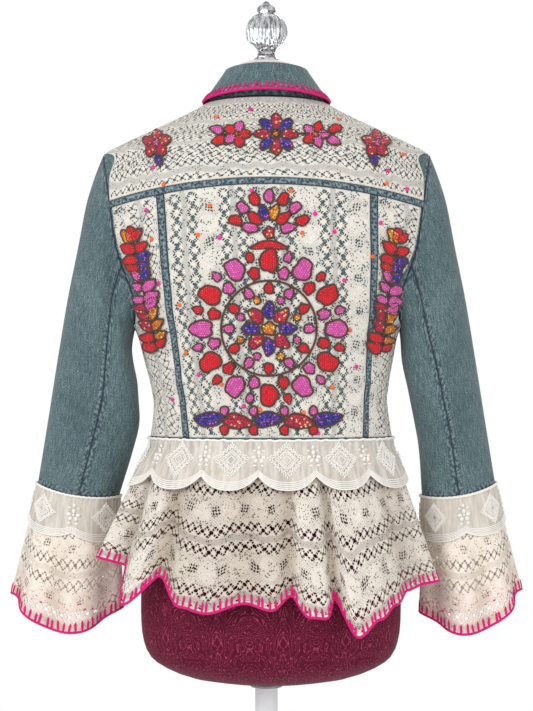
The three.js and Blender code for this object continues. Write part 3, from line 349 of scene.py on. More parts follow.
def add_node(tree: bpy.types.NodeTree, kind: str, settings: dict | None = None,
             inputs: dict | None = None) -> bpy.types.Node:
    """Adds a node with its settings and links.

    Args:
        tree: the node tree.
        kind: the node's type name.
        settings: values of the node's own options.
        inputs: socket name or index to a value, or to the output that feeds it.

    Returns:
        The new node.
    """
    node = tree.nodes.new(kind)
    for name, value in (settings or {}).items():
        setattr(node, name, value)
    for socket, value in (inputs or {}).items():
        if isinstance(value, bpy.types.NodeSocket):
            tree.links.new(value, node.inputs[socket])
        else:
            node.inputs[socket].default_value = value
    return node


class ArrayReckoner:
    """The arithmetic of a pattern, on arrays."""

    absolute = staticmethod(np.abs)
    larger = staticmethod(np.maximum)
    smaller = staticmethod(np.minimum)
    floor = staticmethod(np.floor)
    length = staticmethod(np.hypot)
    sine = staticmethod(np.sin)

    @staticmethod
    def wrap(value: Array, pitch: float) -> Array:
        """Signed distance from the nearest of a row of places at the pitch."""
        return (value + pitch / 2) % pitch - pitch / 2


@dataclass(frozen=True)
class Quantity:
    """A number in a shader: arithmetic on it adds Math nodes."""

    tree: bpy.types.NodeTree
    socket: bpy.types.NodeSocket

    def then(self, operation: str, *others: object) -> "Quantity":
        """The result of a Math node on this number and others."""
        values = [other.socket if isinstance(other, Quantity) else other for other in others]
        node = add_node(self.tree, "ShaderNodeMath", {"operation": operation},
                        dict(enumerate([self.socket, *values])))
        return Quantity(self.tree, node.outputs[0])

    def __add__(self, other: object) -> "Quantity":
        """Sum."""
        return self.then("ADD", other)

    def __sub__(self, other: object) -> "Quantity":
        """Difference."""
        return self.then("SUBTRACT", other)

    def __mul__(self, other: object) -> "Quantity":
        """Product."""
        return self.then("MULTIPLY", other)

    def __truediv__(self, other: object) -> "Quantity":
        """Quotient."""
        return self.then("DIVIDE", other)


class NodeReckoner:
    """The arithmetic of a pattern, as Math nodes."""

    absolute = staticmethod(lambda value: value.then("ABSOLUTE"))
    larger = staticmethod(lambda a, b: a.then("MAXIMUM", b))
    smaller = staticmethod(lambda a, b: a.then("MINIMUM", b))
    floor = staticmethod(lambda value: value.then("FLOOR"))
    length = staticmethod(lambda a, b: (a * a + b * b).then("SQRT"))
    sine = staticmethod(lambda value: value.then("SINE"))

    @staticmethod
    def wrap(value: Quantity, pitch: float) -> Quantity:
        """Signed distance from the nearest of a row of places at the pitch."""
        return value.then("WRAP", pitch / 2, -pitch / 2)


class Wiring:
    """A new material while it is wired: each method adds one of its usual nodes."""

    def __init__(self, name: str, **constants: float) -> None:
        """Starts the material.

        Args:
            name: the material's name.
            constants: shader socket names, with _ for a space, and their values.
        """
        self.material = bpy.data.materials.new(name)
        self.material.use_nodes = True
        self.tree = self.material.node_tree
        self.shader = self.tree.nodes["Principled BSDF"]
        for socket, value in constants.items():
            self.shader.inputs[socket.replace("_", " ")].default_value = value

    def number(self, kind: str, output: str, settings: dict | None = None,
               inputs: dict | None = None) -> Quantity:
        """The number that a new node gives."""
        return Quantity(self.tree, add_node(self.tree, kind, settings, inputs).outputs[output])

    def cloth(self) -> bpy.types.NodeSocket:
        """Place on the cloth's UV map, in millimetres."""
        return add_node(self.tree, "ShaderNodeUVMap", {"uv_map": UV_NAME}).outputs[0]

    def place(self) -> bpy.types.NodeSocket:
        """Place in object coordinates, in metres."""
        return add_node(self.tree, "ShaderNodeTexCoord").outputs["Object"]

    def attribute(self, name: str) -> Quantity:
        """A number that the mesh holds, or 0 where it doesn't."""
        return self.number("ShaderNodeAttribute", "Fac", {"attribute_name": name})

    def split(self, place: bpy.types.NodeSocket) -> tuple[Quantity, Quantity]:
        """The first two coordinates of a place."""
        outputs = add_node(self.tree, "ShaderNodeSeparateXYZ", None, {0: place}).outputs
        return Quantity(self.tree, outputs["X"]), Quantity(self.tree, outputs["Y"])

    def stretched(self, place: bpy.types.NodeSocket, scale: tuple) -> bpy.types.NodeSocket:
        """A place with its axes scaled."""
        inputs = {"Vector": place, "Scale": scale}
        return add_node(self.tree, "ShaderNodeMapping", None, inputs).outputs[0]

    def noise(self, place: bpy.types.NodeSocket, scale: float, detail: float = 2.0,
              distortion: float = 0.0) -> Quantity:
        """Smooth noise about 0.5."""
        return self.number("ShaderNodeTexNoise", "Fac", None, {
            "Vector": place, "Scale": scale, "Detail": detail, "Distortion": distortion})

    def checks(self, place: bpy.types.NodeSocket, size: float) -> Quantity:
        """A plain weave: 1 and 0 in squares of the size."""
        return self.number("ShaderNodeTexChecker", "Fac", None,
                           {"Vector": place, "Scale": 1 / size})

    def spread(self, value: Quantity, low: float, high: float, at_low: float = 0.0,
               at_high: float = 1.0) -> Quantity:
        """A number mapped from one range to another and held within it."""
        node = add_node(self.tree, "ShaderNodeMapRange", None, {
            0: value.socket, 1: low, 2: high, 3: at_low, 4: at_high})
        return Quantity(self.tree, node.outputs[0])

    def blend(self, share: Quantity, first: object, second: object,
              way: str = "MIX") -> bpy.types.NodeSocket:
        """Blends two colours, each a socket or an sRGB hex value.

        Args:
            share: how much of the second colour there is.
            first: the colour below.
            second: the colour laid over it.
            way: the blend type.

        Returns:
            The colour's socket.
        """
        below, over = (linear(c) if isinstance(c, int) else c for c in (first, second))
        inputs = {0: share.socket, 6: below, 7: over}
        settings = {"data_type": "RGBA", "blend_type": way}
        return add_node(self.tree, "ShaderNodeMix", settings, inputs).outputs[2]

    def scaled(self, colour: bpy.types.NodeSocket, factor: Quantity) -> bpy.types.NodeSocket:
        """A colour made lighter or darker by a factor."""
        return add_node(self.tree, "ShaderNodeVectorMath", {"operation": "SCALE"},
                        {0: colour, "Scale": factor.socket}).outputs[0]

    def ramp(self, value: Quantity, stops: tuple, way: str = "LINEAR") -> bpy.types.NodeSocket:
        """A colour by a number.

        Args:
            value: the number.
            stops: pairs of place and sRGB hex colour, in rising order.
            way: the interpolation.

        Returns:
            The colour's socket.
        """
        node = add_node(self.tree, "ShaderNodeValToRGB", None, {"Fac": value.socket})
        node.color_ramp.interpolation = way
        elements = node.color_ramp.elements
        while len(elements) < len(stops):
            elements.new(1.0)
        for i, (place, colour) in enumerate(stops):
            elements[i].position = place
            elements[i].color = linear(colour)
        return node.outputs[0]

    def clear(self, share: Quantity) -> None:
        """Makes the material clear where the share is 0."""
        self.tree.links.new(share.socket, self.shader.inputs["Alpha"])

    def finish(self, colour: bpy.types.NodeSocket, height: Quantity | None = None,
               strength: float = 0.0, distance: float = 0.0) -> bpy.types.Material:
        """Links the colour and the bump.

        Args:
            colour: the base colour.
            height: height of the bump, or None for a smooth face.
            strength: strength of the bump.
            distance: full height of the bump, in metres.

        Returns:
            The material.
        """
        self.tree.links.new(colour, self.shader.inputs["Base Color"])
        if height is not None:
            bump = add_node(self.tree, "ShaderNodeBump", None, {
                "Strength": strength, "Distance": distance, "Height": height.socket})
            self.tree.links.new(bump.outputs[0], self.shader.inputs["Normal"])
        return self.material


@dataclass(frozen=True)
class Denim:
    """Washed cotton twill: pale weft shows through worn warp; by the seams, puckers partly worn
    and partly painted shade, and a painted shadow line along each edge.
    """

    name: str = "denim_twill"
    dark: int = 0x33484D
    middle: int = 0x50686D
    light: int = 0x82979A
    slub: float = 2.4
    grain: float = 1.5
    pucker: float = 4.6
    seam_width: float = 8.5
    seam_share: float = 0.72
    # pucker troughs by a seam: partly unworn cloth, partly painted shade
    unworn_and_shaded_pucker: int = 0x24384A
    # painted shadow in a thin line along each seam's edge
    crease: int = 0x21343F

    def material(self) -> bpy.types.Material:
        """Builds the material, which reads the cloth's UV map and its seam attribute."""
        wiring = Wiring(self.name, Roughness=0.88, Sheen_Weight=0.12)
        cloth = wiring.cloth()
        grain = wiring.noise(cloth, 1 / self.grain)
        streak = wiring.noise(wiring.stretched(cloth, (1 / self.slub, 0.07, 1)), 1.0, 3.0)
        cloud = wiring.noise(cloth, 0.012, 3.0)
        ripple = wiring.noise(cloth, 1 / self.pucker, 1.0)
        seam = wiring.attribute("seam")
        near = wiring.spread(seam, self.seam_width * 0.8, self.seam_width, self.seam_share, 0.0)
        # painted shadow: the last 2.4 mm at each edge go dark
        line = wiring.spread(seam, 0.8, 2.4, self.seam_share, 0.0)
        worn = wiring.ramp(grain * 0.95 + streak * 0.5 + cloud * 0.25 - 0.25,
                           ((0.42, self.dark), (0.6, self.middle), (0.82, self.light)))
        # puckers by a seam: pale worn ridges and dark troughs, the dark partly painted shade
        edge = wiring.blend(wiring.spread(ripple, 0.42, 0.62), self.unworn_and_shaded_pucker, self.light)
        colour = wiring.blend(line, wiring.blend(near, worn, edge), self.crease)
        return wiring.finish(colour, ripple * near + grain, 0.6, 0.0008)


@dataclass(frozen=True)
class LacePattern:
    """Cotton lace in stripes: a tape between two rows of flowers, then a stripe with windows.

    A row of flowers is a lattice of white lozenges with slanting gaps between them, which
    short bars cross. The same formula cuts the mesh and, finer, makes the material clear.
    """

    repeat: float = 74.0
    tape_at: float = 110.5
    tape_half: float = 3.4
    flower_row: float = 12.0
    row_half: float = 7.4
    flower_pitch: float = 11.8
    gap_half: float = 1.35
    gap_at: float = 0.9
    bar: float = 0.45
    bar_step: float = 0.667
    eye: float = 2.0
    window_pitch: float = 39.0
    window_shift: float = 16.0
    window_step: float = 3.7
    window_pane: float = 1.25
    window_half: float = 6.6
    wobble: float = 1.5
    medallion: float = 12.5
    border: float = 4.0
    upright: bool = False
    extra_row: bool = False
    mesh_margin: float = 0.25

    def row(self, m: object, along: object, across: object) -> object:
        """Positive on the thread of one row of flowers, whose centre is at across 0."""
        half = self.flower_pitch / 2
        x = m.absolute(m.wrap(along, self.flower_pitch))
        y = m.absolute(across)
        steep = math.hypot(1 / half, 1 / self.row_half)
        gap = m.absolute(x / half + y / self.row_half - self.gap_at) / steep - self.gap_half
        place = x / half - y / self.row_half
        beside = m.absolute(m.wrap(place, self.bar_step)) * -1 + self.bar_step / 2
        bars = (beside / steep) * -1 + self.bar
        eye = m.length(x - half, y) - self.eye
        lattice = m.smaller(m.larger(gap, bars), eye)
        return m.larger(lattice, y - (self.row_half - 0.7))

    def wander(self, m: object, along: object, across: object) -> tuple:
        """The place, shifted a little as hand-laid lace is."""
        bent = m.sine(along * 0.043 + across * 0.019) * 2.2
        return (along + m.sine(across * 0.21 + bent) * self.wobble,
                across + m.sine(along * 0.17 - bent) * self.wobble)

    def stripes(self, m: object, along: object, across: object) -> tuple:
        """Distance from the tape, and place along and across in the stripe with windows."""
        tape = m.absolute(m.wrap(across - self.tape_at, self.repeat))
        middle = across - (self.tape_at + self.repeat / 2)
        stripe = m.floor(middle / self.repeat + 0.5)
        return (tape, m.wrap(along - stripe * self.window_shift, self.window_pitch),
                m.wrap(middle, self.repeat))

    def thread(self, m: object, along: object, across: object) -> object:
        """Positive on thread, negative in a hole, in millimetres from the edge."""
        tape, w, b = self.stripes(m, along, across)
        cloth = self.row(m, along, tape - self.flower_row)
        if self.extra_row:
            return m.smaller(cloth, self.row(m, along + self.flower_pitch / 2,
                                             tape - self.repeat / 2))
        pane = m.length(m.wrap(b, self.window_step), m.wrap(w, self.window_step))
        outside = m.length(b, w) - self.window_half
        return m.smaller(cloth, m.larger(pane - self.window_pane, outside))

    def cloth(self, s: Array, t: Array, width: float, length: float) -> Array:
        """The pattern on a cut, with a whole border all round."""
        edge = self.border - np.minimum(np.minimum(s, width - s), np.minimum(t, length - t))
        along, across = (t, s) if self.upright else (s, t)
        along, across = self.wander(ArrayReckoner, along, across)
        thread = self.thread(ArrayReckoner, along, across) + self.mesh_margin
        return np.maximum(thread, edge)


@dataclass(frozen=True)
class Crochet:
    """Mercerised cotton lace: white lozenges, grey sheer tape and net, dense medallions."""

    name: str
    pattern: LacePattern
    thread: int = 0xF3EFE7
    shade: int = 0xDDD5CA
    net: int = 0xC9C0BA
    # the colour painted in a pinhole is what shows through it: the denim under an overlay, painted
    # shade of the shaded inside under the peplum and cuffs
    pinhole: int = 0x8E8F8C
    low_tint: int = 0xEFEAE0
    low_start: float = 1e6
    low_end: float = 2e6
    # painted shade: multiplied in by how deep a point lies in a fold's or wave's hollow
    hollow: int = 0xCBC3B9
    stitch: float = 2.9
    pinhole_share: float = 0.4

    def material(self) -> bpy.types.Material:
        """Builds the material, which reads the UV map, how near a seam it is, and the painted
        shade of folds.
        """
        wiring = Wiring(self.name, Roughness=0.82, Sheen_Weight=0.15)
        pattern, m = self.pattern, NodeReckoner
        cloth = wiring.cloth()
        u, v = wiring.split(cloth)
        along, across = pattern.wander(m, *((v, u) if pattern.upright else (u, v)))
        clear = pattern.thread(m, along, across)
        tape, window, stripe = pattern.stripes(m, along, across)
        loops = wiring.number("ShaderNodeTexVoronoi", "Distance", {"feature": "F1"}, {
            "Vector": cloth, "Scale": 1 / self.stitch, "Randomness": 0.85})
        patch = wiring.noise(cloth, 0.07)
        beside = m.wrap(window + pattern.window_pitch / 2, pattern.window_pitch)
        dense = wiring.spread(m.length(beside, stripe * 0.85), pattern.medallion - 1,
                              pattern.medallion, 1, 0)
        in_row = wiring.spread(m.absolute(tape - pattern.flower_row), pattern.row_half - 1,
                               pattern.row_half, 1, 0)
        in_tape = wiring.spread(tape, pattern.tape_half, pattern.tape_half + 0.6, 1, 0)
        plain = m.larger(m.larger(dense, in_row), in_tape) * -1 + 1.0
        sheer = m.larger(in_tape * 0.75, plain * (wiring.checks(cloth, 2.0) * 0.55))
        hole = loops.then("LESS_THAN", wiring.spread(patch, 0.34, 0.6, 0.14,
                                                     self.pinhole_share))
        colour = wiring.blend(patch, self.thread, self.shade)
        colour = wiring.blend(sheer, colour, self.net)
        colour = wiring.blend(hole * (in_row * -0.7 + 1.0), colour, self.pinhole)
        low = wiring.spread(v, self.low_start, self.low_end, 0.0, 0.5)
        colour = wiring.blend(low, colour, self.low_tint, "MULTIPLY")
        # painted shade in the hollows of the peplum's folds and the cuffs' waves
        colour = wiring.blend(wiring.attribute("hollow"), colour, self.hollow, "MULTIPLY")
        # painted light and shade on each loop of thread: lighter at its middle, darker at its rim
        colour = wiring.scaled(colour, wiring.spread(loops, 0.1, 0.6, 1.2, 0.98))
        whole = m.larger(clear, wiring.attribute("seam") * -1 + pattern.border)
        wiring.clear(wiring.spread(whole, -0.12, 0.18))
        return wiring.finish(colour, m.smaller(whole, 1.2) * 0.5 + loops * 0.5, 0.6, 0.0009)


PEPLUM_LACE = LacePattern()
CUFF_LACE = LacePattern(repeat=62, tape_at=96, flower_row=12.5, window_pitch=41, medallion=11,
                        window_half=5.6, gap_half=1.0)
BACK_LACE = LacePattern(upright=True, tape_at=85, repeat=62, border=3, gap_half=1.9, eye=2.0,
                        flower_pitch=17, flower_row=10.5, row_half=8.4, bar=0.6, bar_step=0.5,
                        window_half=5.6, window_pitch=44, wobble=1.4)
SIDE_LACE = LacePattern(upright=True, tape_at=-22, repeat=60, border=3, flower_row=12,
                        window_pitch=52, window_half=5, gap_half=0.8, eye=1.6,
                        flower_pitch=10.5, wobble=2.6)
YOKE_LACE = LacePattern(tape_at=16, repeat=44, flower_pitch=10.6, flower_row=11, row_half=6.2,
                        gap_half=0.9, eye=2.0, extra_row=True, border=3, wobble=2.2)


@dataclass(frozen=True)
class Organza:
    """Stiff sheer silk: half clear, with a faint plain weave and a soft shine."""

    name: str = "organza_sheer"
    colour: int = 0xE6DED2
    cloud: int = 0xF2EAE0
    alpha: float = 0.55
    thread: float = 1.6  # drawn coarser than the real 0.3 mm, so that it shows

    def material(self) -> bpy.types.Material:
        """Builds the material, with a woven bump and a little cloud in its colour."""
        wiring = Wiring(self.name, Roughness=0.5, Sheen_Weight=0.3)
        cloth = wiring.cloth()
        weave = wiring.checks(cloth, self.thread)
        veil = wiring.noise(wiring.stretched(cloth, (0.16, 0.03, 1)), 1.0, 3.0)
        wiring.clear(weave * 0.16 + wiring.spread(veil, 0.35, 0.65, self.alpha - 0.2,
                                                  self.alpha + 0.2))
        colour = wiring.blend(wiring.noise(cloth, 0.05, 3.0), self.colour, self.cloud)
        return wiring.finish(colour, weave, 0.2, 0.0003)


@dataclass(frozen=True)
class Thread:
    """Twisted thread or yarn: fine slanting plies, with painted shade in the grooves between them.
    """

    name: str
    colour: int
    groove_shade: int
    ply: float = 1.6
    roughness: float = 0.7
    sheen: float = 0.25

    def material(self) -> bpy.types.Material:
        """Builds the material, on object coordinates."""
        wiring = Wiring(self.name, Roughness=self.roughness, Sheen_Weight=self.sheen)
        place = wiring.place()
        ply = wiring.number("ShaderNodeTexWave", "Fac", {"bands_direction": "DIAGONAL"}, {
            "Vector": place, "Scale": 444 / self.ply, "Distortion": 2.0})
        # painted shade in the grooves between the plies
        colour = wiring.blend(ply * wiring.noise(place, 90.0), self.colour, self.groove_shade)
        return wiring.finish(colour, ply, 0.4, 0.0004)


@dataclass(frozen=True)
class Glossy:
    """Glass beads, sequins and metal, whose colour comes from each one's own tint."""

    name: str
    colours: tuple[int, ...]
    roughness: float = 0.2
    metallic: float = 0.0
    coat: float = 0.4

    def material(self) -> bpy.types.Material:
        """Builds the material, which reads the tint attribute and shades it with noise."""
        wiring = Wiring(self.name, Roughness=self.roughness, Metallic=self.metallic,
                        Coat_Weight=self.coat)
        stops = tuple((i / len(self.colours), colour) for i, colour in enumerate(self.colours))
        own = wiring.ramp(wiring.attribute("tint"), stops, "CONSTANT")
        shade = wiring.spread(wiring.noise(wiring.place(), 260.0), 0.3, 0.7, 0.75, 1.15)
        return wiring.finish(wiring.scaled(own, shade))


@dataclass(frozen=True)
class Brocade:
    """Jacquard satin: a burgundy ground with paler mirrored scrolls."""

    name: str = "brocade_satin"
    ground: int = 0x5C0526
    scroll: int = 0xB04468
    repeat: float = 84.0

    def material(self) -> bpy.types.Material:
        """Builds the material, with scrolls mirrored on each repeat of the UV map."""
        wiring = Wiring(self.name, Roughness=0.62, Specular_IOR_Level=0.16)
        cloth = wiring.cloth()
        u, v = wiring.split(cloth)
        mirrored = u.then("PINGPONG", self.repeat / 2)
        folded = add_node(wiring.tree, "ShaderNodeCombineXYZ", None,
                          {0: mirrored.socket, 1: v.socket})
        swirl = wiring.noise(folded.outputs[0], 0.02, 1.0, 3.4)
        line = wiring.spread(swirl.then("PINGPONG", 0.045), 0.03, 0.039)
        mask = line * wiring.spread(wiring.noise(cloth, 0.6), 0.44, 0.58, 0.1)
        return wiring.finish(wiring.blend(mask, self.ground, self.scroll), mask, 0.3, 0.0006)


@dataclass(frozen=True)
class Plain:
    """Paint, satin or metal: nearly even, with a faint orange peel or grain."""

    name: str
    colour: int
    shade: int
    roughness: float = 0.35
    metallic: float = 0.0
    grain: float = 3.0
    bump: float = 0.08

    def material(self) -> bpy.types.Material:
        """Builds the material, on object coordinates."""
        wiring = Wiring(self.name, Roughness=self.roughness, Metallic=self.metallic)
        grain = wiring.noise(wiring.place(), 1 / (self.grain * MM))
        colour = wiring.blend(grain, self.colour, self.shade)
        return wiring.finish(colour, grain, self.bump, 0.0005)


@dataclass(frozen=True)
class Crystal:
    """Pressed lead glass: clear, heavy refraction, with grey streaks in its depth as painted
    reflection of dark surroundings.
    """

    name: str = "pressed_crystal"
    # grey to white: painted reflection of dark surroundings in the glass
    stops: tuple = ((0.38, 0x6C7276), (0.5, 0xD8DCDE), (0.6, 0xFFFFFF))

    def material(self) -> bpy.types.Material:
        """Builds the material, clear but for faint grey streaks of painted reflection."""
        wiring = Wiring(self.name, Roughness=0.03, IOR=1.54, Transmission_Weight=0.92)
        # painted reflection: stretched noise for the streaks
        cloud = wiring.noise(wiring.stretched(wiring.place(), (260, 260, 60)), 1.0, 1.0)
        return wiring.finish(wiring.ramp(cloud, self.stops))


class Tone(Enum):
    """Colour family of a motif's petal."""

    RED = "red"
    PINK = "pink"
    CRIMSON = "crimson"
    BLUE = "blue"
    ORANGE = "orange"

    @property
    def beaded(self) -> bool:
        """Whether it is worked in bead rows, not in sequins."""
        return self in (Tone.RED, Tone.PINK)


class Finishes:
    """Every finish of the object, made once."""

    def __init__(self) -> None:
        """Builds the materials."""
        self.denim = Denim().material()
        self.band = Denim("denim_seam", 0x22363F, 0x3E5864, 0x8A9EA3, pucker=3.8,
                          seam_width=4.6, seam_share=0.85).material()
        self.back_lace = self.overlay("back", BACK_LACE, 0.42)
        self.side_lace = self.overlay("side", SIDE_LACE, 0.46)
        self.yoke_lace = self.overlay("yoke", YOKE_LACE, 0.32)
        # the peplum's and cuffs' pinholes are painted dark: painted shade of their shaded inside
        self.peplum = Crochet("crochet_peplum", PEPLUM_LACE, 0xF1EADF, 0xDDD2C6, 0xB8ADA5,
                              0x6E635C).material()
        self.cuff = Crochet("crochet_cuff", CUFF_LACE, 0xFBF3E6, 0xF1E6D8, 0xDCCFC0, 0xB8A28E,
                            0xF4BCC8, 104, 180).material()
        self.organza = Organza().material()
        self.embroidery = Thread("white_floss", 0xFFFDF8, 0xF0EAE0, 1.2).material()
        self.cord = Thread("brown_cord", 0x55301C, 0x24110A, 1.3, 0.6).material()
        self.yarn = Thread("pink_yarn", 0xE4007C, 0xB4005E, 2.2, 0.75, 0.0).material()
        self.topstitch = Thread("seam_thread", 0x9FA9A6, 0x6D7C80, 0.8).material()
        self.felt = {
            Tone.RED: Thread("red_felt", 0xD61628, 0x8E0E16, 1.0).material(),
            Tone.PINK: Thread("pink_felt", 0xDA5AB0, 0x8E2A70, 1.0).material(),
            Tone.CRIMSON: Thread("crimson_felt", 0xB81E44, 0x7C1030, 1.0).material(),
            Tone.BLUE: Thread("blue_felt", 0x2C3488, 0x161A50, 1.0).material(),
            Tone.ORANGE: Thread("orange_felt", 0xD8741E, 0x9C4A10, 1.0).material(),
        }
        self.beads = {
            Tone.RED: Glossy("red_beads", (0xF41A30, 0xFC2A40, 0xE61428)).material(),
            Tone.PINK: Glossy("pink_beads", (0xF070C2, 0xF88CD0, 0xE260B0)).material(),
            Tone.CRIMSON: Glossy("crimson_sequins", (
                0xC8204A, 0xD83A5C, 0xB81E44, 0xE8C878, 0xD02850), 0.25, 0.3).material(),
            Tone.BLUE: Glossy("blue_sequins", (
                0x2A2F9A, 0x5A2E9E, 0x2348A8, 0xC05AC0, 0x1C2470, 0x7A3AB0), 0.25, 0.3).material(),
            Tone.ORANGE: Glossy("orange_sequins", (
                0xE88A20, 0xF0B040, 0xD86A18, 0xF0D060), 0.25, 0.3).material(),
        }
        self.dots = Glossy("knot_dots", (0xF0129A, 0xFF6A1A), 0.5, coat=0.1).material()
        self.brocade = Brocade().material()
        self.neck_cap = Plain("neck_satin", 0xF4E6EA, 0xE2CCD2, 0.45, grain=6).material()
        self.paint = Plain("white_paint", 0xF0F2F3, 0xE4E7E9, 0.3).material()
        self.flange = Plain("brushed_steel", 0x9A9DA0, 0x85888C, 0.35, 1.0, 1.5).material()
        self.button = Plain("antique_copper", 0x9A6F4C, 0x5E4430, 0.4, 1.0, 1.2, 0.3).material()
        self.crystal = Crystal().material()

    @staticmethod
    def overlay(name: str, pattern: LacePattern, pinhole_share: float) -> bpy.types.Material:
        """The lace laid on the denim, which shows grey through its pinholes."""
        return Crochet("crochet_" + name, pattern, 0xEBE6DC, 0xD6D0C5, 0xB4B3AC, 0x56646C,
                       pinhole_share=pinhole_share).material()


# Meshes


def mesh_object(name: str, points: Array, faces: list, materials: list,
                uvs: Array | None = None, sharp: float | None = 50.0) -> bpy.types.Object:
    """Makes an object from points in millimetres.

    Args:
        name: the object's name.
        points: one row for each vertex.
        faces: vertex numbers of each face.
        materials: the object's materials.
        uvs: one row for each face corner, or None.
        sharp: angle in degrees above which an edge stays sharp, or None for all smooth.

    Returns:
        The object, linked to the scene.
    """
    mesh = bpy.data.meshes.new(name)
    listed = faces.tolist() if isinstance(faces, np.ndarray) else faces
    mesh.from_pydata((np.asarray(points) * MM).tolist(), [], listed)
    for material in materials:
        mesh.materials.append(material)
    if uvs is not None:
        layer = mesh.uv_layers.new(name=UV_NAME)
        layer.data.foreach_set("uv", np.asarray(uvs, np.float32).ravel())
    mesh.polygons.foreach_set("use_smooth", [True] * len(mesh.polygons))
    if sharp is not None:
        mesh.set_sharp_from_angle(angle=math.radians(sharp))
    mesh.update()
    return link(bpy.data.objects.new(name, mesh))


def settle(thing: bpy.types.Object, slot: str, nodes: tuple[str, ...] = ()) -> None:
    """Puts a finished piece on the frame's body and hides the nodes that it stands for."""
    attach(thing, "root")
    if nodes:
        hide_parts(*nodes)
    LOG.info("%s: %d faces", thing.name, len(thing.data.polygons))


def link(thing: bpy.types.Object) -> bpy.types.Object:
    """Links an object to the scene."""
    bpy.context.scene.collection.objects.link(thing)
    return thing


def bridge(rings: int, sides: int, closed: bool = False) -> list:
    """Faces between rings of points, each ring with the same number of sides."""
    faces = []
    for ring in range(rings if closed else rings - 1):
        low, high = ring * sides, (ring + 1) % rings * sides
        faces += [[low + k, low + (k + 1) % sides, high + (k + 1) % sides, high + k]
                  for k in range(sides)]
    return faces


def bridge_to_ends(rings: int, sides: int) -> list:
    """Faces of a closed form of rings, whose first and last points follow them."""
    first = rings * sides
    last_ring = first - sides
    faces = bridge(rings, sides)
    for k in range(sides):
        after = (k + 1) % sides
        faces += [[first, after, k], [first + 1, last_ring + k, last_ring + after]]
    return faces


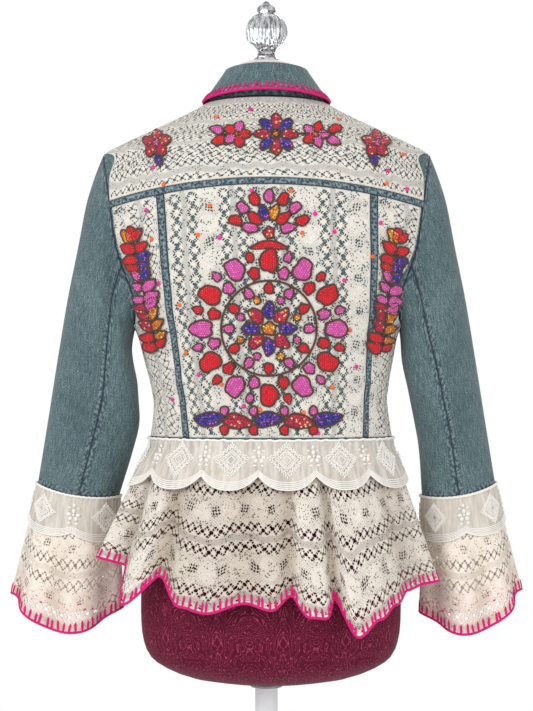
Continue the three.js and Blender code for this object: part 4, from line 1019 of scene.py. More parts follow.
@dataclass
class Cloth:
    """A cut of cloth on a surface, as a closed thin wall whose holes are cut through."""

    name: str
    point: Callable[[Array, Array, Array], Array]
    levels: tuple[float, float]
    cell: float
    pattern: Callable[[Array, Array, float, float], Array] | None = None
    closed: bool = False
    reference: float = 0.5
    soft: bool = False
    # painted shade of a fold's hollow at each place, kept as a point attribute, or None
    hollow: Callable[[Array, Array], Array] | None = None
    shortest: float = 0.0105

    def even_places(self, along: str) -> tuple[Array, float]:
        """Places that are even along the cloth, and the cloth's length that way."""
        fine = np.linspace(0, 1, 601)
        lines = []
        for fixed in (self.reference,) if along == "u" else (0.2, 0.5, 0.8):
            still = np.full_like(fine, fixed)
            pair = (fine, still) if along == "u" else (still, fine)
            lines.append(run_of(self.point(*pair, self.levels[1])))
        lengths = np.mean(lines, axis=0)
        count = max(2, round(lengths[-1] / self.cell))
        return np.interp(np.linspace(0, lengths[-1], count + 1), lengths, fine), lengths[-1]

    def measure(self) -> tuple[tuple[float, float], float]:
        """Works out the flat size and the area of the cut, in metres."""
        u, v = np.meshgrid(np.linspace(0, 1, 121), np.linspace(0, 1, 41), indexing="ij")
        grid = self.point(u, v, self.levels[1]) * MM
        sizes = [np.linalg.norm(np.diff(grid, axis=axis), axis=2).sum(axis).max()
                 for axis in (0, 1)]
        first = np.cross(grid[1:, :-1] - grid[:-1, :-1], grid[:-1, 1:] - grid[:-1, :-1])
        width, length = (max(round(float(size), 3), self.shortest) for size in sizes)
        return (width, length), float(np.linalg.norm(first, axis=2).sum())

    def build(self, material: bpy.types.Material) -> bpy.types.Object:
        """Makes the wall.

        Args:
            material: the piece's finish.

        Returns:
            The object, with a UV map in millimetres and the seam attribute.
        """
        us, width = self.even_places("u")
        vs, length = self.even_places("v")
        columns, rows = len(us), len(vs)
        s, t = np.meshgrid(np.linspace(0, width, columns), np.linspace(0, length, rows),
                           indexing="ij")
        values = np.ones_like(s) if self.pattern is None else self.pattern(s, t, width, length)
        if self.closed:
            values[-1] = values[0]
        triangles, places = self.cut(values)
        wrapped = triangles.copy()
        if self.closed:
            last = (columns - 1) * rows
            count = columns * rows
            family, inside = np.divmod(wrapped, count)
            wrapped = family * count + np.where(inside >= last, inside - last, inside)
        used, compact = np.unique(wrapped, return_inverse=True)
        compact = compact.reshape(-1, 3)
        keep = ((compact[:, 0] != compact[:, 1]) & (compact[:, 1] != compact[:, 2])
                & (compact[:, 0] != compact[:, 2]))
        compact, triangles = compact[keep], triangles[keep]
        u = np.interp(places[used, 0], np.arange(columns), us)
        v = np.interp(places[used, 1], np.arange(rows), vs)
        inner, outer = (self.point(u, v, np.full_like(u, level)) for level in self.levels)
        thing = self.wall(material, inner, outer, compact, places, triangles, used,
                          (width, length, columns, rows))
        # stores the painted shade of the hollows for the material
        if self.hollow is not None:
            depth = thing.data.attributes.new("hollow", "FLOAT", "POINT")
            depth.data.foreach_set("value", np.tile(self.hollow(u, v), 2).astype(np.float32))
        return thing

    @staticmethod
    def cut(values: Array) -> tuple[Array, Array]:
        """Cuts a grid along the line where its values turn negative.

        Args:
            values: one value for each node of the grid.

        Returns:
            Triangles, as numbers of corner, cross-edge and down-edge points, and the place
            of every such point on the grid.
        """
        columns, rows = values.shape
        count = columns * rows
        i, j = np.meshgrid(np.arange(columns), np.arange(rows), indexing="ij")
        places = np.stack([np.tile(i.ravel(), 3), np.tile(j.ravel(), 3)], -1).astype(float)
        inside = values > 0
        share = np.full((columns, rows), 0.5)
        share[:-1] = values[:-1] / np.where(inside[:-1] != inside[1:], values[:-1] - values[1:], 1)
        places[count:2 * count, 0] += np.clip(share, 0.1, 0.9).ravel()
        share = np.full((columns, rows), 0.5)
        crossing = np.where(inside[:, :-1] != inside[:, 1:], values[:, :-1] - values[:, 1:], 1)
        share[:, :-1] = values[:, :-1] / crossing
        places[2 * count:, 1] += np.clip(share, 0.1, 0.9).ravel()
        node = (i * rows + j)[:-1, :-1]
        corners = [node, node + rows, node + rows + 1, node + 1]
        edges = [count + node, 2 * count + node + rows, count + node + 1, 2 * count + node]
        flags = [inside[:-1, :-1], inside[1:, :-1], inside[1:, 1:], inside[:-1, 1:]]
        case = sum(flag.astype(int) << k for k, flag in enumerate(flags))
        triangles = []
        for kind in range(1, 16):
            chosen = case == kind
            if not chosen.any():
                continue
            ring = []
            for k in range(4):
                here, after = kind >> k & 1, kind >> (k + 1) % 4 & 1
                if here:
                    ring.append(corners[k][chosen])
                if here != after:
                    ring.append(edges[k][chosen])
            triangles += [np.stack([ring[0], ring[k], ring[k + 1]], -1)
                          for k in range(1, len(ring) - 1)]
        return np.concatenate(triangles), places

    def wall(self, material: bpy.types.Material, inner: Array, outer: Array, compact: Array,
             places: Array, triangles: Array, used: Array, size: tuple) -> bpy.types.Object:
        """Joins two faces of cloth by rims round every edge and hole.

        Args:
            material: the piece's finish.
            inner: points of the inner face.
            outer: points of the outer face.
            compact: triangles of one face.
            places: places of all grid points.
            triangles: the same triangles by grid point.
            used: grid point of each vertex.
            size: width and length in millimetres, columns and rows.

        Returns:
            The object.
        """
        width, length, columns, rows = size
        scale = np.array([width / (columns - 1), length / (rows - 1)])
        corner = outer[compact]
        facing = np.cross(corner[:, 1] - corner[:, 0], corner[:, 2] - corner[:, 0])
        if ((outer - inner)[compact[:, 0]] * facing).sum() < 0:
            compact, triangles = compact[:, ::-1], triangles[:, ::-1]
        count = len(used)
        edges = np.concatenate([compact[:, [0, 1]], compact[:, [1, 2]], compact[:, [2, 0]]])
        key = edges[:, 0] * count + edges[:, 1]
        back = edges[:, 1] * count + edges[:, 0]
        a, b = edges[~np.isin(key, back)].T
        rim = np.concatenate([np.stack([b, a, a + count], -1),
                              np.stack([b, a + count, b + count], -1)])
        faces = np.concatenate([compact, compact[:, ::-1] + count, rim])
        flat = places[used] * scale
        uvs = np.concatenate([places[triangles] * scale, places[triangles[:, ::-1]] * scale,
                              flat[rim % count]]).reshape(-1, 2)
        thing = mesh_object(self.name, np.concatenate([outer, inner]), faces, [material], uvs,
                            None if self.soft else 50.0)
        from_edge = np.minimum(flat[:, 1], length - flat[:, 1])
        if not self.closed:
            from_edge = np.minimum(from_edge, np.minimum(flat[:, 0], width - flat[:, 0]))
        seam = thing.data.attributes.new("seam", "FLOAT", "POINT")
        seam.data.foreach_set("value", np.tile(from_edge, 2).astype(np.float32))
        return thing

    def lay(self, material: bpy.types.Material, slot: str, node: str) -> None:
        """Args:
            material: its finish.
            slot: the record's material slot, which is not used.
            node: the solid that it stands for.
        """
        thing = self.build(material)
        settle(thing, slot, (node,))
        flat, area = self.measure()


@dataclass
class Heap:
    """Meshes gathered to become one object, each part with its own material number."""

    points: list = field(default_factory=list)
    faces: list = field(default_factory=list)
    kinds: list = field(default_factory=list)
    count: int = 0

    def add(self, points: Array, faces: list, kind: int = 0) -> None:
        """Adds a part with its material number."""
        self.points.append(np.asarray(points, float))
        self.faces += [[v + self.count for v in face] for face in faces]
        self.kinds += [kind] * len(faces)
        self.count += len(points)

    def object(self, name: str, materials: list, sharp: float | None = 50.0) -> bpy.types.Object:
        """Makes the object."""
        thing = mesh_object(name, np.concatenate(self.points), self.faces, materials, None, sharp)
        thing.data.polygons.foreach_set("material_index", self.kinds)
        return thing


def tube(path: Array, normals: Array, radius: float, sides: int = 6,
         closed: bool = False) -> tuple[Array, list]:
    """A round cord along a path that lies on a surface.

    Args:
        path: points of its centre line.
        normals: the surface's normal at each point.
        radius: radius of the cord.
        sides: faces round it.
        closed: whether its end joins its start.

    Returns:
        Points and faces.
    """
    if closed:
        tangent = np.roll(path, -1, 0) - np.roll(path, 1, 0)
    else:
        tangent = np.gradient(path, axis=0)
    across = unit(np.cross(unit(tangent), normals))
    turn = np.arange(sides) * 2 * np.pi / sides
    ring = (across[:, None] * np.cos(turn)[None, :, None]
            + normals[:, None] * np.sin(turn)[None, :, None])
    points = (path[:, None] + radius * ring).reshape(-1, 3)
    faces = bridge(len(path), sides, closed)
    if not closed:
        faces.append(list(range(sides))[::-1])
        faces.append(list(range(len(points) - sides, len(points))))
    return points, faces


def outward(thing: bpy.types.Object) -> None:
    """Turns a mesh of closed parts so that its faces point out."""
    mesh = thing.data
    work = bmesh.new()
    work.from_mesh(mesh)
    bmesh.ops.recalc_face_normals(work, faces=work.faces)
    work.to_mesh(mesh)
    work.free()


class BeadShape(Enum):
    """What a scattered thing is."""

    BEAD = "bead"
    SEQUIN = "sequin"


@dataclass
class Scatter:
    """Small things set on a surface by Geometry Nodes: beads, sequins, stitches and knots."""

    name: str
    material: bpy.types.Material
    shape: BeadShape = BeadShape.BEAD
    segments: int = 5
    rings: int = 3
    points: list = field(default_factory=list)
    sizes: list = field(default_factory=list)
    along: list = field(default_factory=list)
    normals: list = field(default_factory=list)
    tints: list = field(default_factory=list)

    def add(self, points: Array, along: Array, normals: Array, size: tuple, tints: Array) -> None:
        """Adds things at points, each turned along its path and out of its surface."""
        self.points.append(points)
        self.along.append(unit(along))
        self.normals.append(unit(normals))
        self.sizes.append(np.tile(np.array(size, float), (len(points), 1)))
        self.tints.append(np.broadcast_to(np.asarray(tints, float), (len(points),)))

    def tree(self) -> bpy.types.NodeTree:
        """Builds the node tree: one shape on each point, turned, sized and made real."""
        tree = bpy.data.node_groups.new(self.name, "GeometryNodeTree")
        sockets = {"Geometry": "Geometry", "Thing size": "Float", "Segments": "Int",
                   "Rings": "Int", "Material": "Material"}
        for name, kind in sockets.items():
            tree.interface.new_socket(name, in_out="INPUT", socket_type="NodeSocket" + kind)
        tree.interface.new_socket("Geometry", in_out="OUTPUT",
                                  socket_type="NodeSocketGeometry")
        given = add_node(tree, "NodeGroupInput").outputs
        along, normal, size = (
            add_node(tree, "GeometryNodeInputNamedAttribute", {"data_type": "FLOAT_VECTOR"},
                     {0: name}).outputs[0]
            for name in ("along", "out", "size"))
        turned = add_node(tree, "FunctionNodeAxesToRotation",
                          {"primary_axis": "Z", "secondary_axis": "X"},
                          {"Primary Axis": normal, "Secondary Axis": along})
        if self.shape is BeadShape.BEAD:
            form = add_node(tree, "GeometryNodeMeshUVSphere", None,
                            {"Segments": given["Segments"], "Rings": given["Rings"],
                             "Radius": given["Thing size"]})
        else:
            form = add_node(tree, "GeometryNodeMeshCylinder", None,
                            {"Vertices": given["Segments"], "Radius": given["Thing size"],
                             "Depth": given["Thing size"]})
        placed = add_node(tree, "GeometryNodeInstanceOnPoints", None,
                          {"Points": given["Geometry"], "Instance": form.outputs["Mesh"],
                           "Rotation": turned.outputs[0], "Scale": size})
        real = add_node(tree, "GeometryNodeRealizeInstances", None, {0: placed.outputs[0]})
        dressed = add_node(tree, "GeometryNodeSetMaterial", None,
                           {"Geometry": real.outputs[0], "Material": given["Material"]})
        add_node(tree, "NodeGroupOutput", None, {"Geometry": dressed.outputs[0]})
        return tree

    def build(self, slot: str) -> None:
        """Makes the things real and settles them on the frame's body."""
        seed = bpy.data.meshes.new(self.name + "_points")
        seed.from_pydata((np.concatenate(self.points) * MM).tolist(), [], [])
        values = {"along": self.along, "out": self.normals, "size": self.sizes}
        for name, parts in values.items():
            layer = seed.attributes.new(name, "FLOAT_VECTOR", "POINT")
            layer.data.foreach_set("vector", np.concatenate(parts).astype(np.float32).ravel())
        tint = seed.attributes.new("tint", "FLOAT", "POINT")
        tint.data.foreach_set("value", np.concatenate(self.tints).astype(np.float32))
        source = link(bpy.data.objects.new(self.name + "_source", seed))
        modifier = source.modifiers.new("scatter", "NODES")
        modifier.node_group = self.tree()
        wanted = {"Thing size": MM, "Segments": self.segments, "Rings": self.rings,
                  "Material": self.material}
        for item in modifier.node_group.interface.items_tree:
            if item.in_out == "INPUT" and item.name in wanted:
                modifier[item.identifier] = wanted[item.name]
        graph = bpy.context.evaluated_depsgraph_get()
        mesh = bpy.data.meshes.new_from_object(source.evaluated_get(graph),
                                               preserve_all_data_layers=True, depsgraph=graph)
        source.modifiers.remove(modifier)
        bpy.data.objects.remove(source)
        mesh.name = self.name
        mesh.polygons.foreach_set("use_smooth", [True] * len(mesh.polygons))
        settle(link(bpy.data.objects.new(self.name, mesh)), slot)


# Back


# A stitch: half its length, width and height, then its pitch
STITCH = (1.5, 0.34, 0.3)
STITCH_PITCH = 4.2
FELLED_PITCH = 4.4
FELLED_ROWS = (0.16, 0.84)
THREAD_TINT = 0.1
SIDE_COLUMNS = 4
CENTRE_COLUMNS = 6
BACK_COLUMNS = 2 * SIDE_COLUMNS + CENTRE_COLUMNS


def back_column_angle(row: Array, column: Array) -> Array:
    """Angle of a column of the back, counted from the left side seam."""
    low = np.minimum(row, YOKE_SIDE)
    stops = [edge_angle(row, -1, -1), band_angle(low, -1), band_angle(low, 1),
             edge_angle(row, 1, -1)]
    first = mix(stops[0], stops[1], np.clip(column / SIDE_COLUMNS, 0, 1))
    second = (stops[2] - stops[1]) * np.clip((column - SIDE_COLUMNS) / CENTRE_COLUMNS, 0, 1)
    far = column - SIDE_COLUMNS - CENTRE_COLUMNS
    third = (stops[3] - stops[2]) * np.clip(far / SIDE_COLUMNS, 0, 1)
    return first + second + third


def back_degrees(length: float) -> Callable[[Array], Array]:
    """Degrees round the back that a length takes near a column, for each row."""
    return lambda row: np.degrees(length / (0.62 * BODY_SECTION(row)[..., 1] + 40))


@dataclass
class BackPanel:
    """A panel of the back between two columns and two rows."""

    first: int
    last: int
    low: float
    high: float
    insets: tuple = (None, None)

    def point(self, u: Array, v: Array, out: Array) -> Array:
        """Point of the panel: u from left to right, v from low to high."""
        column = mix(self.first, self.last, u)
        row = mix(self.low, self.high, v)
        angle = back_column_angle(row, column)
        for side, inset in ((-1, self.insets[0]), (1, self.insets[1])):
            share = np.clip(1 - (u if side < 0 else 1 - u) * 4, 0, 1)
            degrees = SEAM_ANGLE if inset is None else inset(row)
            angle = angle - side * share * degrees
        point = back_point(row, angle, out)
        for side, inset, end in ((-1, self.insets[0], 0), (1, self.insets[1], BACK_COLUMNS)):
            edge_column = self.first if side < 0 else self.last
            if inset is not None or edge_column != end:
                continue
            edge = panel_edge(row, side, -1, out)
            own = back_point(row, edge_angle(row, side, -1) - side * SEAM_ANGLE, out)
            share = np.clip(1 - np.abs(column - end), 0, 1)
            point = point + (edge - own) * share[..., None]
        return point


@dataclass
class JacketBack:
    """Back of the jacket: denim panels, lace laid on them and felled bands."""

    denim_cell: float = 6.0
    lace_cell: float = 2.5
    band_cell: float = 1.9
    left: int = 0
    left_band: int = SIDE_COLUMNS
    right_band: int = SIDE_COLUMNS + CENTRE_COLUMNS
    right: int = BACK_COLUMNS

    def build(self, finishes: Finishes) -> None:
        """Builds the panels, the lace and the bands."""
        seam = YOKE_SIDE - GAP / 2
        denim = {
            "back_side_left": BackPanel(self.left, self.left_band, WAIST, seam),
            "back_centre": BackPanel(self.left_band, self.right_band, WAIST, seam),
            "back_side_right": BackPanel(self.right_band, self.right, WAIST, seam),
            "yoke_back": BackPanel(self.left, self.right, YOKE_SIDE + GAP / 2, NECK),
        }
        for name, panel in denim.items():
            cloth = Cloth("denim_" + name, panel.point, (0, DENIM), self.denim_cell)
            cloth.lay(finishes.denim, "denim", name)
        self.add_lace(finishes)
        self.add_bands(finishes)

    def add_lace(self, finishes: Finishes) -> None:
        """Lays the lace on the panels."""
        band = back_degrees(BAND_HALF + 2 * GAP)
        side = lambda row: SIDE_LACE_INSET(row)[..., 1]
        yoke = lambda row: YOKE_LACE_INSET(row)[..., 1]
        top = YOKE_SIDE - BAND_HALF - GAP
        parts = {
            "back_side_lace_left": (BackPanel(self.left, self.left_band, TRIM_TOP + 1, top,
                                              (side, band)), finishes.side_lace, SIDE_LACE),
            "back_centre_lace": (BackPanel(self.left_band, self.right_band, TRIM_TOP + 1, top,
                                           (band, band)), finishes.back_lace, BACK_LACE),
            "back_side_lace_right": (BackPanel(self.right_band, self.right, TRIM_TOP + 1, top,
                                               (band, side)), finishes.side_lace, SIDE_LACE),
            "yoke_lace": (BackPanel(self.left, self.right, YOKE_SIDE + BAND_HALF + GAP, NECK - 2,
                                    (yoke, yoke)), finishes.yoke_lace, YOKE_LACE),
        }
        for name, (panel, lace, pattern) in parts.items():
            cloth = Cloth("crochet_" + name, panel.point, OVERLAY, self.lace_cell,
                          pattern.cloth, soft=True)
            under = "denim_yoke_back" if name == "yoke_lace" else "denim_back_centre"
            cloth.lay(lace, "lace", name)

    def add_bands(self, finishes: Finishes) -> None:
        """Fells the bands over the yoke seam and the princess seams."""
        stitches = Scatter("band_topstitch", finishes.topstitch)

        def yoke_band(u: Array, v: Array, out: Array) -> Array:
            """The band along the yoke seam."""
            row = YOKE_SIDE + BAND_HALF * (2 * v - 1)
            column = u * BACK_COLUMNS
            end = np.clip(1 - column, 0, 1) - np.clip(column - BACK_COLUMNS + 1, 0, 1)
            return back_point(row, back_column_angle(row, column) + end * SEAM_ANGLE * 6, out)

        self.fell("yoke_band", yoke_band, finishes, stitches, "u")
        low, high = TRIM_TOP + 1, YOKE_SIDE - BAND_HALF - GAP
        width = back_degrees(BAND_HALF)
        for name, side in (("left", -1), ("right", 1)):
            def band(u: Array, v: Array, out: Array, side: int = side) -> Array:
                """A band down a princess seam."""
                row = mix(low, high, v)
                return back_point(row, band_angle(row, side) + (2 * u - 1) * width(row), out)

            self.fell("back_band_" + name, band, finishes, stitches, "v")
        stitches.build("denim")

    def fell(self, name: str, band: Callable, finishes: Finishes, stitches: Scatter,
             way: str) -> None:
        """Lays one band and sews its two rows of stitches."""
        cloth = Cloth("felled_" + name, band, BAND, self.band_cell)
        cloth.lay(finishes.band, "denim", name)
        for share in FELLED_ROWS:
            sew(stitches, band, way, share, BAND[1], FELLED_PITCH)


def sew(stitches: Scatter, surface: Callable, way: str, share: float, out: float,
        pitch: float = STITCH_PITCH) -> None:
    """Sews a row of stitches along a surface.

    Args:
        stitches: what the stitches are added to.
        surface: the cloth's surface over u and v.
        way: the direction that the row runs in, u or v.
        share: the row's place in the other direction.
        out: level of the cloth's face.
        pitch: from one stitch to the next.
    """
    def row(places: Array, level: float) -> Array:
        """Points of the row at a level."""
        still = np.full_like(places, share)
        pair = (places, still) if way == "u" else (still, places)
        return surface(*pair, np.full_like(places, level))

    fine = np.linspace(0, 1, 400)
    lengths = run_of(row(fine, out))
    count = max(2, int(lengths[-1] / pitch))
    at = np.interp((np.arange(count) + 0.5) * lengths[-1] / count, lengths, fine)
    here = row(at, out)
    stitches.add(here, row(at + 0.002, out) - row(at - 0.002, out), row(at, out + 1) - here,
                 STITCH, np.full(count, THREAD_TINT))


# Fronts and collar


@dataclass
class JacketFront:
    """The two fronts, the placket and its buttons."""

    cell: float = 6.0
    placket_half: float = 4.2
    placket_cell: float = 2.4
    front_rows: tuple = (0.52, 0.545)
    placket_rows: tuple = (0.12, 0.2, 0.88)
    button_sides: int = 40
    button_radius: float = 8.5
    button_thick: float = 2.6
    button_heights: tuple = (1000, 1067, 1134, 1201, 1268, 1335)

    def build(self, finishes: Finishes) -> None:
        """Builds the fronts, the placket and the buttons."""
        stitches = Scatter("front_topstitch", finishes.topstitch)
        for name, side in (("left", -1), ("right", 1)):
            def front(u: Array, v: Array, out: Array, side: int = side) -> Array:
                """A front from its outer edge to the middle."""
                row = mix(WAIST, NECK, v)
                middle = 90 - side * SEAM_ANGLE
                angle = mix(edge_angle(row, side, 1), middle, u)
                point = body_point(row, angle, out)
                own = body_point(row, edge_angle(row, side, 1), out)
                share = np.clip(1 - 4 * u, 0, 1)[..., None]
                return point + (panel_edge(row, side, 1, out) - own) * share

            cloth = Cloth("denim_front_" + name, front, (0, DENIM), self.cell)
            cloth.lay(finishes.denim, "denim", "front_" + name)
            for share in self.front_rows:
                sew(stitches, front, "v", share, DENIM)

        def placket(u: Array, v: Array, out: Array) -> Array:
            """The strip over the fronts' edges."""
            row = mix(TRIM_TOP + 1, NECK - 2, v)
            return body_point(row, 90 + (2 * u - 1) * self.placket_half, out)

        cloth = Cloth("denim_placket", placket, (OVERLAY[0], OVERLAY[0] + DENIM),
                      self.placket_cell)
        cloth.lay(finishes.band, "denim", "placket")
        for share in self.placket_rows:
            sew(stitches, placket, "v", share, OVERLAY[0] + DENIM)
        stitches.build("denim")
        self.add_buttons(finishes)

    def add_buttons(self, finishes: Finishes) -> None:
        """Turns six shank buttons with a domed, ringed face."""
        r, h = self.button_radius, self.button_thick
        profile = [(0, 0), (r * 0.94, 0), (r, h * 0.3), (r, h * 0.75), (r * 0.9, h),
                   (r * 0.78, h * 0.93), (r * 0.7, h * 0.6), (r * 0.42, h * 0.66),
                   (r * 0.3, h * 0.95), (0, h * 0.98)]
        level = OVERLAY[0] + DENIM + GAP
        middle = np.array(90.0)
        points, faces = lathe(profile, self.button_sides)
        across = np.array([1.0, 0.0, 0.0])
        for i, height in enumerate(np.array(self.button_heights, float)):
            seat = moved_out(body_surface, middle, height, level)
            out = unit(moved_out(body_surface, middle, height, level + 1) - seat)
            up = np.cross(out, across)
            placed = points[:, :1] * across + points[:, 1:2] * up + points[:, 2:] * out + seat
            button = mesh_object(f"shank_button_{i + 1}", placed, faces, [finishes.button])
            outward(button)
            settle(button, "button_metal", (f"button_{i + 1}",))


def lathe(profile: list, sides: int, flute: Callable | None = None) -> tuple[Array, list]:
    """A turned form from a profile of radius and height, whose ends lie on the axis.

    Args:
        profile: pairs of radius and height.
        sides: faces round the form.
        flute: a factor on the radius by angle and height, or None.

    Returns:
        Points and faces.
    """
    angle = np.arange(sides) * 2 * np.pi / sides
    points, faces, rings = [], [], []
    for radius, height in profile:
        if radius < 1e-6:
            rings.append([len(points)] * sides)
            points.append((0, 0, height))
            continue
        r = radius * (flute(angle, height) if flute else np.ones(sides))
        rings.append(list(range(len(points), len(points) + sides)))
        points += list(zip(r * np.cos(angle), r * np.sin(angle), np.full(sides, height)))
    for low, high in zip(rings, rings[1:]):
        for i in range(sides):
            j = (i + 1) % sides
            ring = [low[i], low[j], high[j], high[i]]
            face = [v for k, v in enumerate(ring) if v != ring[k - 1]]
            if len(face) > 2:
                faces.append(face)
    return np.array(points, float), faces


@dataclass
class Collar:
    """Stand and fall of the collar, with a blanket stitch along the fall's edge."""

    thick: float = 1.8
    rise: float = 42.0
    stand: float = 0.85
    half: float = 165.0
    cell: float = 4.5

    def surface(self, angle: Array, line: Array) -> Array:
        """Point from the neck seam (line 0) over the fold (1) to the fall's edge (2)."""
        angle, line = np.broadcast_arrays(np.asarray(angle, float), np.asarray(line, float))
        sine, cosine = compass(angle)
        front = sine > 0
        neck_z = body_surface(angle, NECK)[..., 2]

        def oval(half: float, depth_front: float, depth_back: float, z: Array) -> Array:
            """One of the collar's three ovals."""
            depth = np.where(front, depth_front, depth_back)
            return np.stack([half * cosine, depth * sine, z], -1)

        neck = oval(75, 62, 58, neck_z + 1.9 + np.where(front, 1.8, 0) * sine**2)
        fold = oval(47, 53, 51, neck_z + self.rise)
        edge = oval(86, 92, 76, neck_z - 1.5 + np.where(front, 6.5, 5.5) * sine**2)
        outward_way = np.stack([cosine, sine, np.zeros_like(sine)], -1)
        up = np.array([0.0, 0.0, 1.0])
        curl = np.stack([
            mix(neck, fold, self.stand + 0.006),
            fold + outward_way * 2.2 + up * 0.6,
            fold + outward_way * 5.2 + up * 1.2,
            fold + outward_way * 7 - up * 2,
            mix(fold, edge, 0.6) + outward_way * 0.5,
            edge,
        ])
        place = np.clip((line - 1) * (len(curl) - 1), 0, len(curl) - 1)
        first = np.minimum(place.astype(int), len(curl) - 2)
        share = (place - first)[..., None]
        index = first[None, ..., None]
        low = np.take_along_axis(curl, np.broadcast_to(index, (1, *neck.shape)), 0)[0]
        high = np.take_along_axis(curl, np.broadcast_to(index + 1, (1, *neck.shape)), 0)[0]
        upright = mix(neck, fold, line[..., None])
        return np.where((line <= self.stand)[..., None], upright, mix(low, high, share))

    def stand_point(self, u: Array, v: Array, out: Array) -> Array:
        """Point of the stand."""
        angle = 270 + self.half * (2 * u - 1)
        return moved_out(self.surface, angle, v * (self.stand - 0.004), out, step_a=2, step_b=0.02)

    def fall_point(self, u: Array, v: Array, out: Array) -> Array:
        """Point of the fall."""
        angle = 270 + self.half * (2 * u - 1)
        return moved_out(self.surface, angle, 1 + 0.94 * v, out, turn=-1, step_a=2, step_b=0.08)

    def build(self, finishes: Finishes) -> None:
        """Builds the stand, the fall and the stitch."""
        Cloth("denim_collar_stand", self.stand_point, (0, self.thick), self.cell).lay(
            finishes.denim, "denim", "collar_stand")
        Cloth("denim_collar_fall", self.fall_point, (0, self.thick), self.cell).lay(
            finishes.denim, "denim", "collar_fall")
        blanket_stitch("collar_stitch", self.fall_point, finishes, self.thick, 0.0, False, 7.4,
                       11.0)


YARN_RADIUS = 1.85
LEG_HALF = (1.8, 0.95)
LEG_LIFT = 0.55
LEG_SEED = 11


def blanket_stitch(name: str, surface: Callable, finishes: Finishes, outer: float, inner: float,
                   closed: bool, pitch: float, reach: float) -> None:
    """Sews a blanket stitch in yarn: a line along the edge, with a leg up at each stitch.

    Args:
        name: the piece's name.
        surface: the cloth's surface over u and v, with its edge at v 1.
        finishes: the object's finishes.
        outer: level of the outer face.
        inner: level of the inner face.
        closed: whether the edge runs all round.
        pitch: from one leg to the next.
        reach: length of a leg.
    """
    def on_cloth(u: Array, level: float, v: Array = 1.0) -> Array:
        """Points at a level, on the edge or above it."""
        return surface(u, np.broadcast_to(v, u.shape).astype(float), np.full_like(u, level))

    fine = np.linspace(0, 1, 900)
    middle = (outer + inner) / 2
    lengths = run_of(on_cloth(fine, middle))
    count = int(lengths[-1] / pitch)
    steps = np.interp(np.arange(2 * count + 1) * lengths[-1] / (2 * count), lengths, fine)
    if closed:
        steps = steps[:-1]
    line = on_cloth(steps, middle)
    points, faces = tube(line, unit(on_cloth(steps, outer + 1) - line), YARN_RADIUS, 8,
                         closed)
    cord = mesh_object(name + "_edge", points, faces, [finishes.yarn])
    outward(cord)
    settle(cord, "pink_yarn")
    legs = Scatter(name + "_legs", finishes.yarn, segments=6, rings=4)
    rng = np.random.default_rng(LEG_SEED)
    at = steps[1::2] + rng.normal(0, 0.12 / count, len(steps[1::2]))
    near = 0.05
    v_length = np.linalg.norm(on_cloth(at, outer, 1 - near) - on_cloth(at, outer), axis=1) / near
    length = reach * rng.uniform(0.88, 1.12, len(at))
    for level in (outer + LEG_LIFT, inner - LEG_LIFT):
        foot = on_cloth(at, level)
        lean = rng.normal(0, 0.1 / count, len(at))
        head = on_cloth(at + lean, level, 1 - length / v_length)
        off = on_cloth(at, level + 1) - foot
        centre = (foot + head) / 2
        for k in range(len(at)):
            half = float(np.linalg.norm(head[k] - foot[k]) / 2)
            legs.add(centre[k:k + 1], head[k:k + 1] - foot[k:k + 1], off[k:k + 1],
                     (half + 0.4, *LEG_HALF), THREAD_TINT)
    legs.build("pink_yarn")


# Sleeves and cuffs


@dataclass(frozen=True)
class SleeveFold:
    """A soft fold of a sleeve: where it stands, how far it runs and how deep it is."""

    angle: float
    t: float
    angle_reach: float
    t_reach: float
    depth: float
    drift: float = 0.0

    def rise(self, angle: Array, t: Array) -> Array:
        """How far it lifts the cloth."""
        turn = (angle - self.angle - self.drift * (t - self.t) + HALF_TURN) % FULL_TURN
        across = (turn - HALF_TURN) / self.angle_reach
        return self.depth * np.exp(-(across**2) - ((t - self.t) / self.t_reach) ** 2)


# Columns: share of the length, outer line's x and z, inner line's z, half depth, forward
SLEEVE_ROWS = (
    (0, 211, 1344, 1122, 50, 0), (0.052, 222, 1322, 1108, 54, 0),
    (0.139, 233, 1285, 1092, 58, 0), (0.28, 245, 1225, 1073, 57, 2),
    (0.438, 259, 1158, 1040, 53, 6), (0.609, 272, 1085, 1000, 48, 13),
    (0.786, 285, 1010, 962, 45, 23), (1, 301, 919, 902, 44, 35),
)


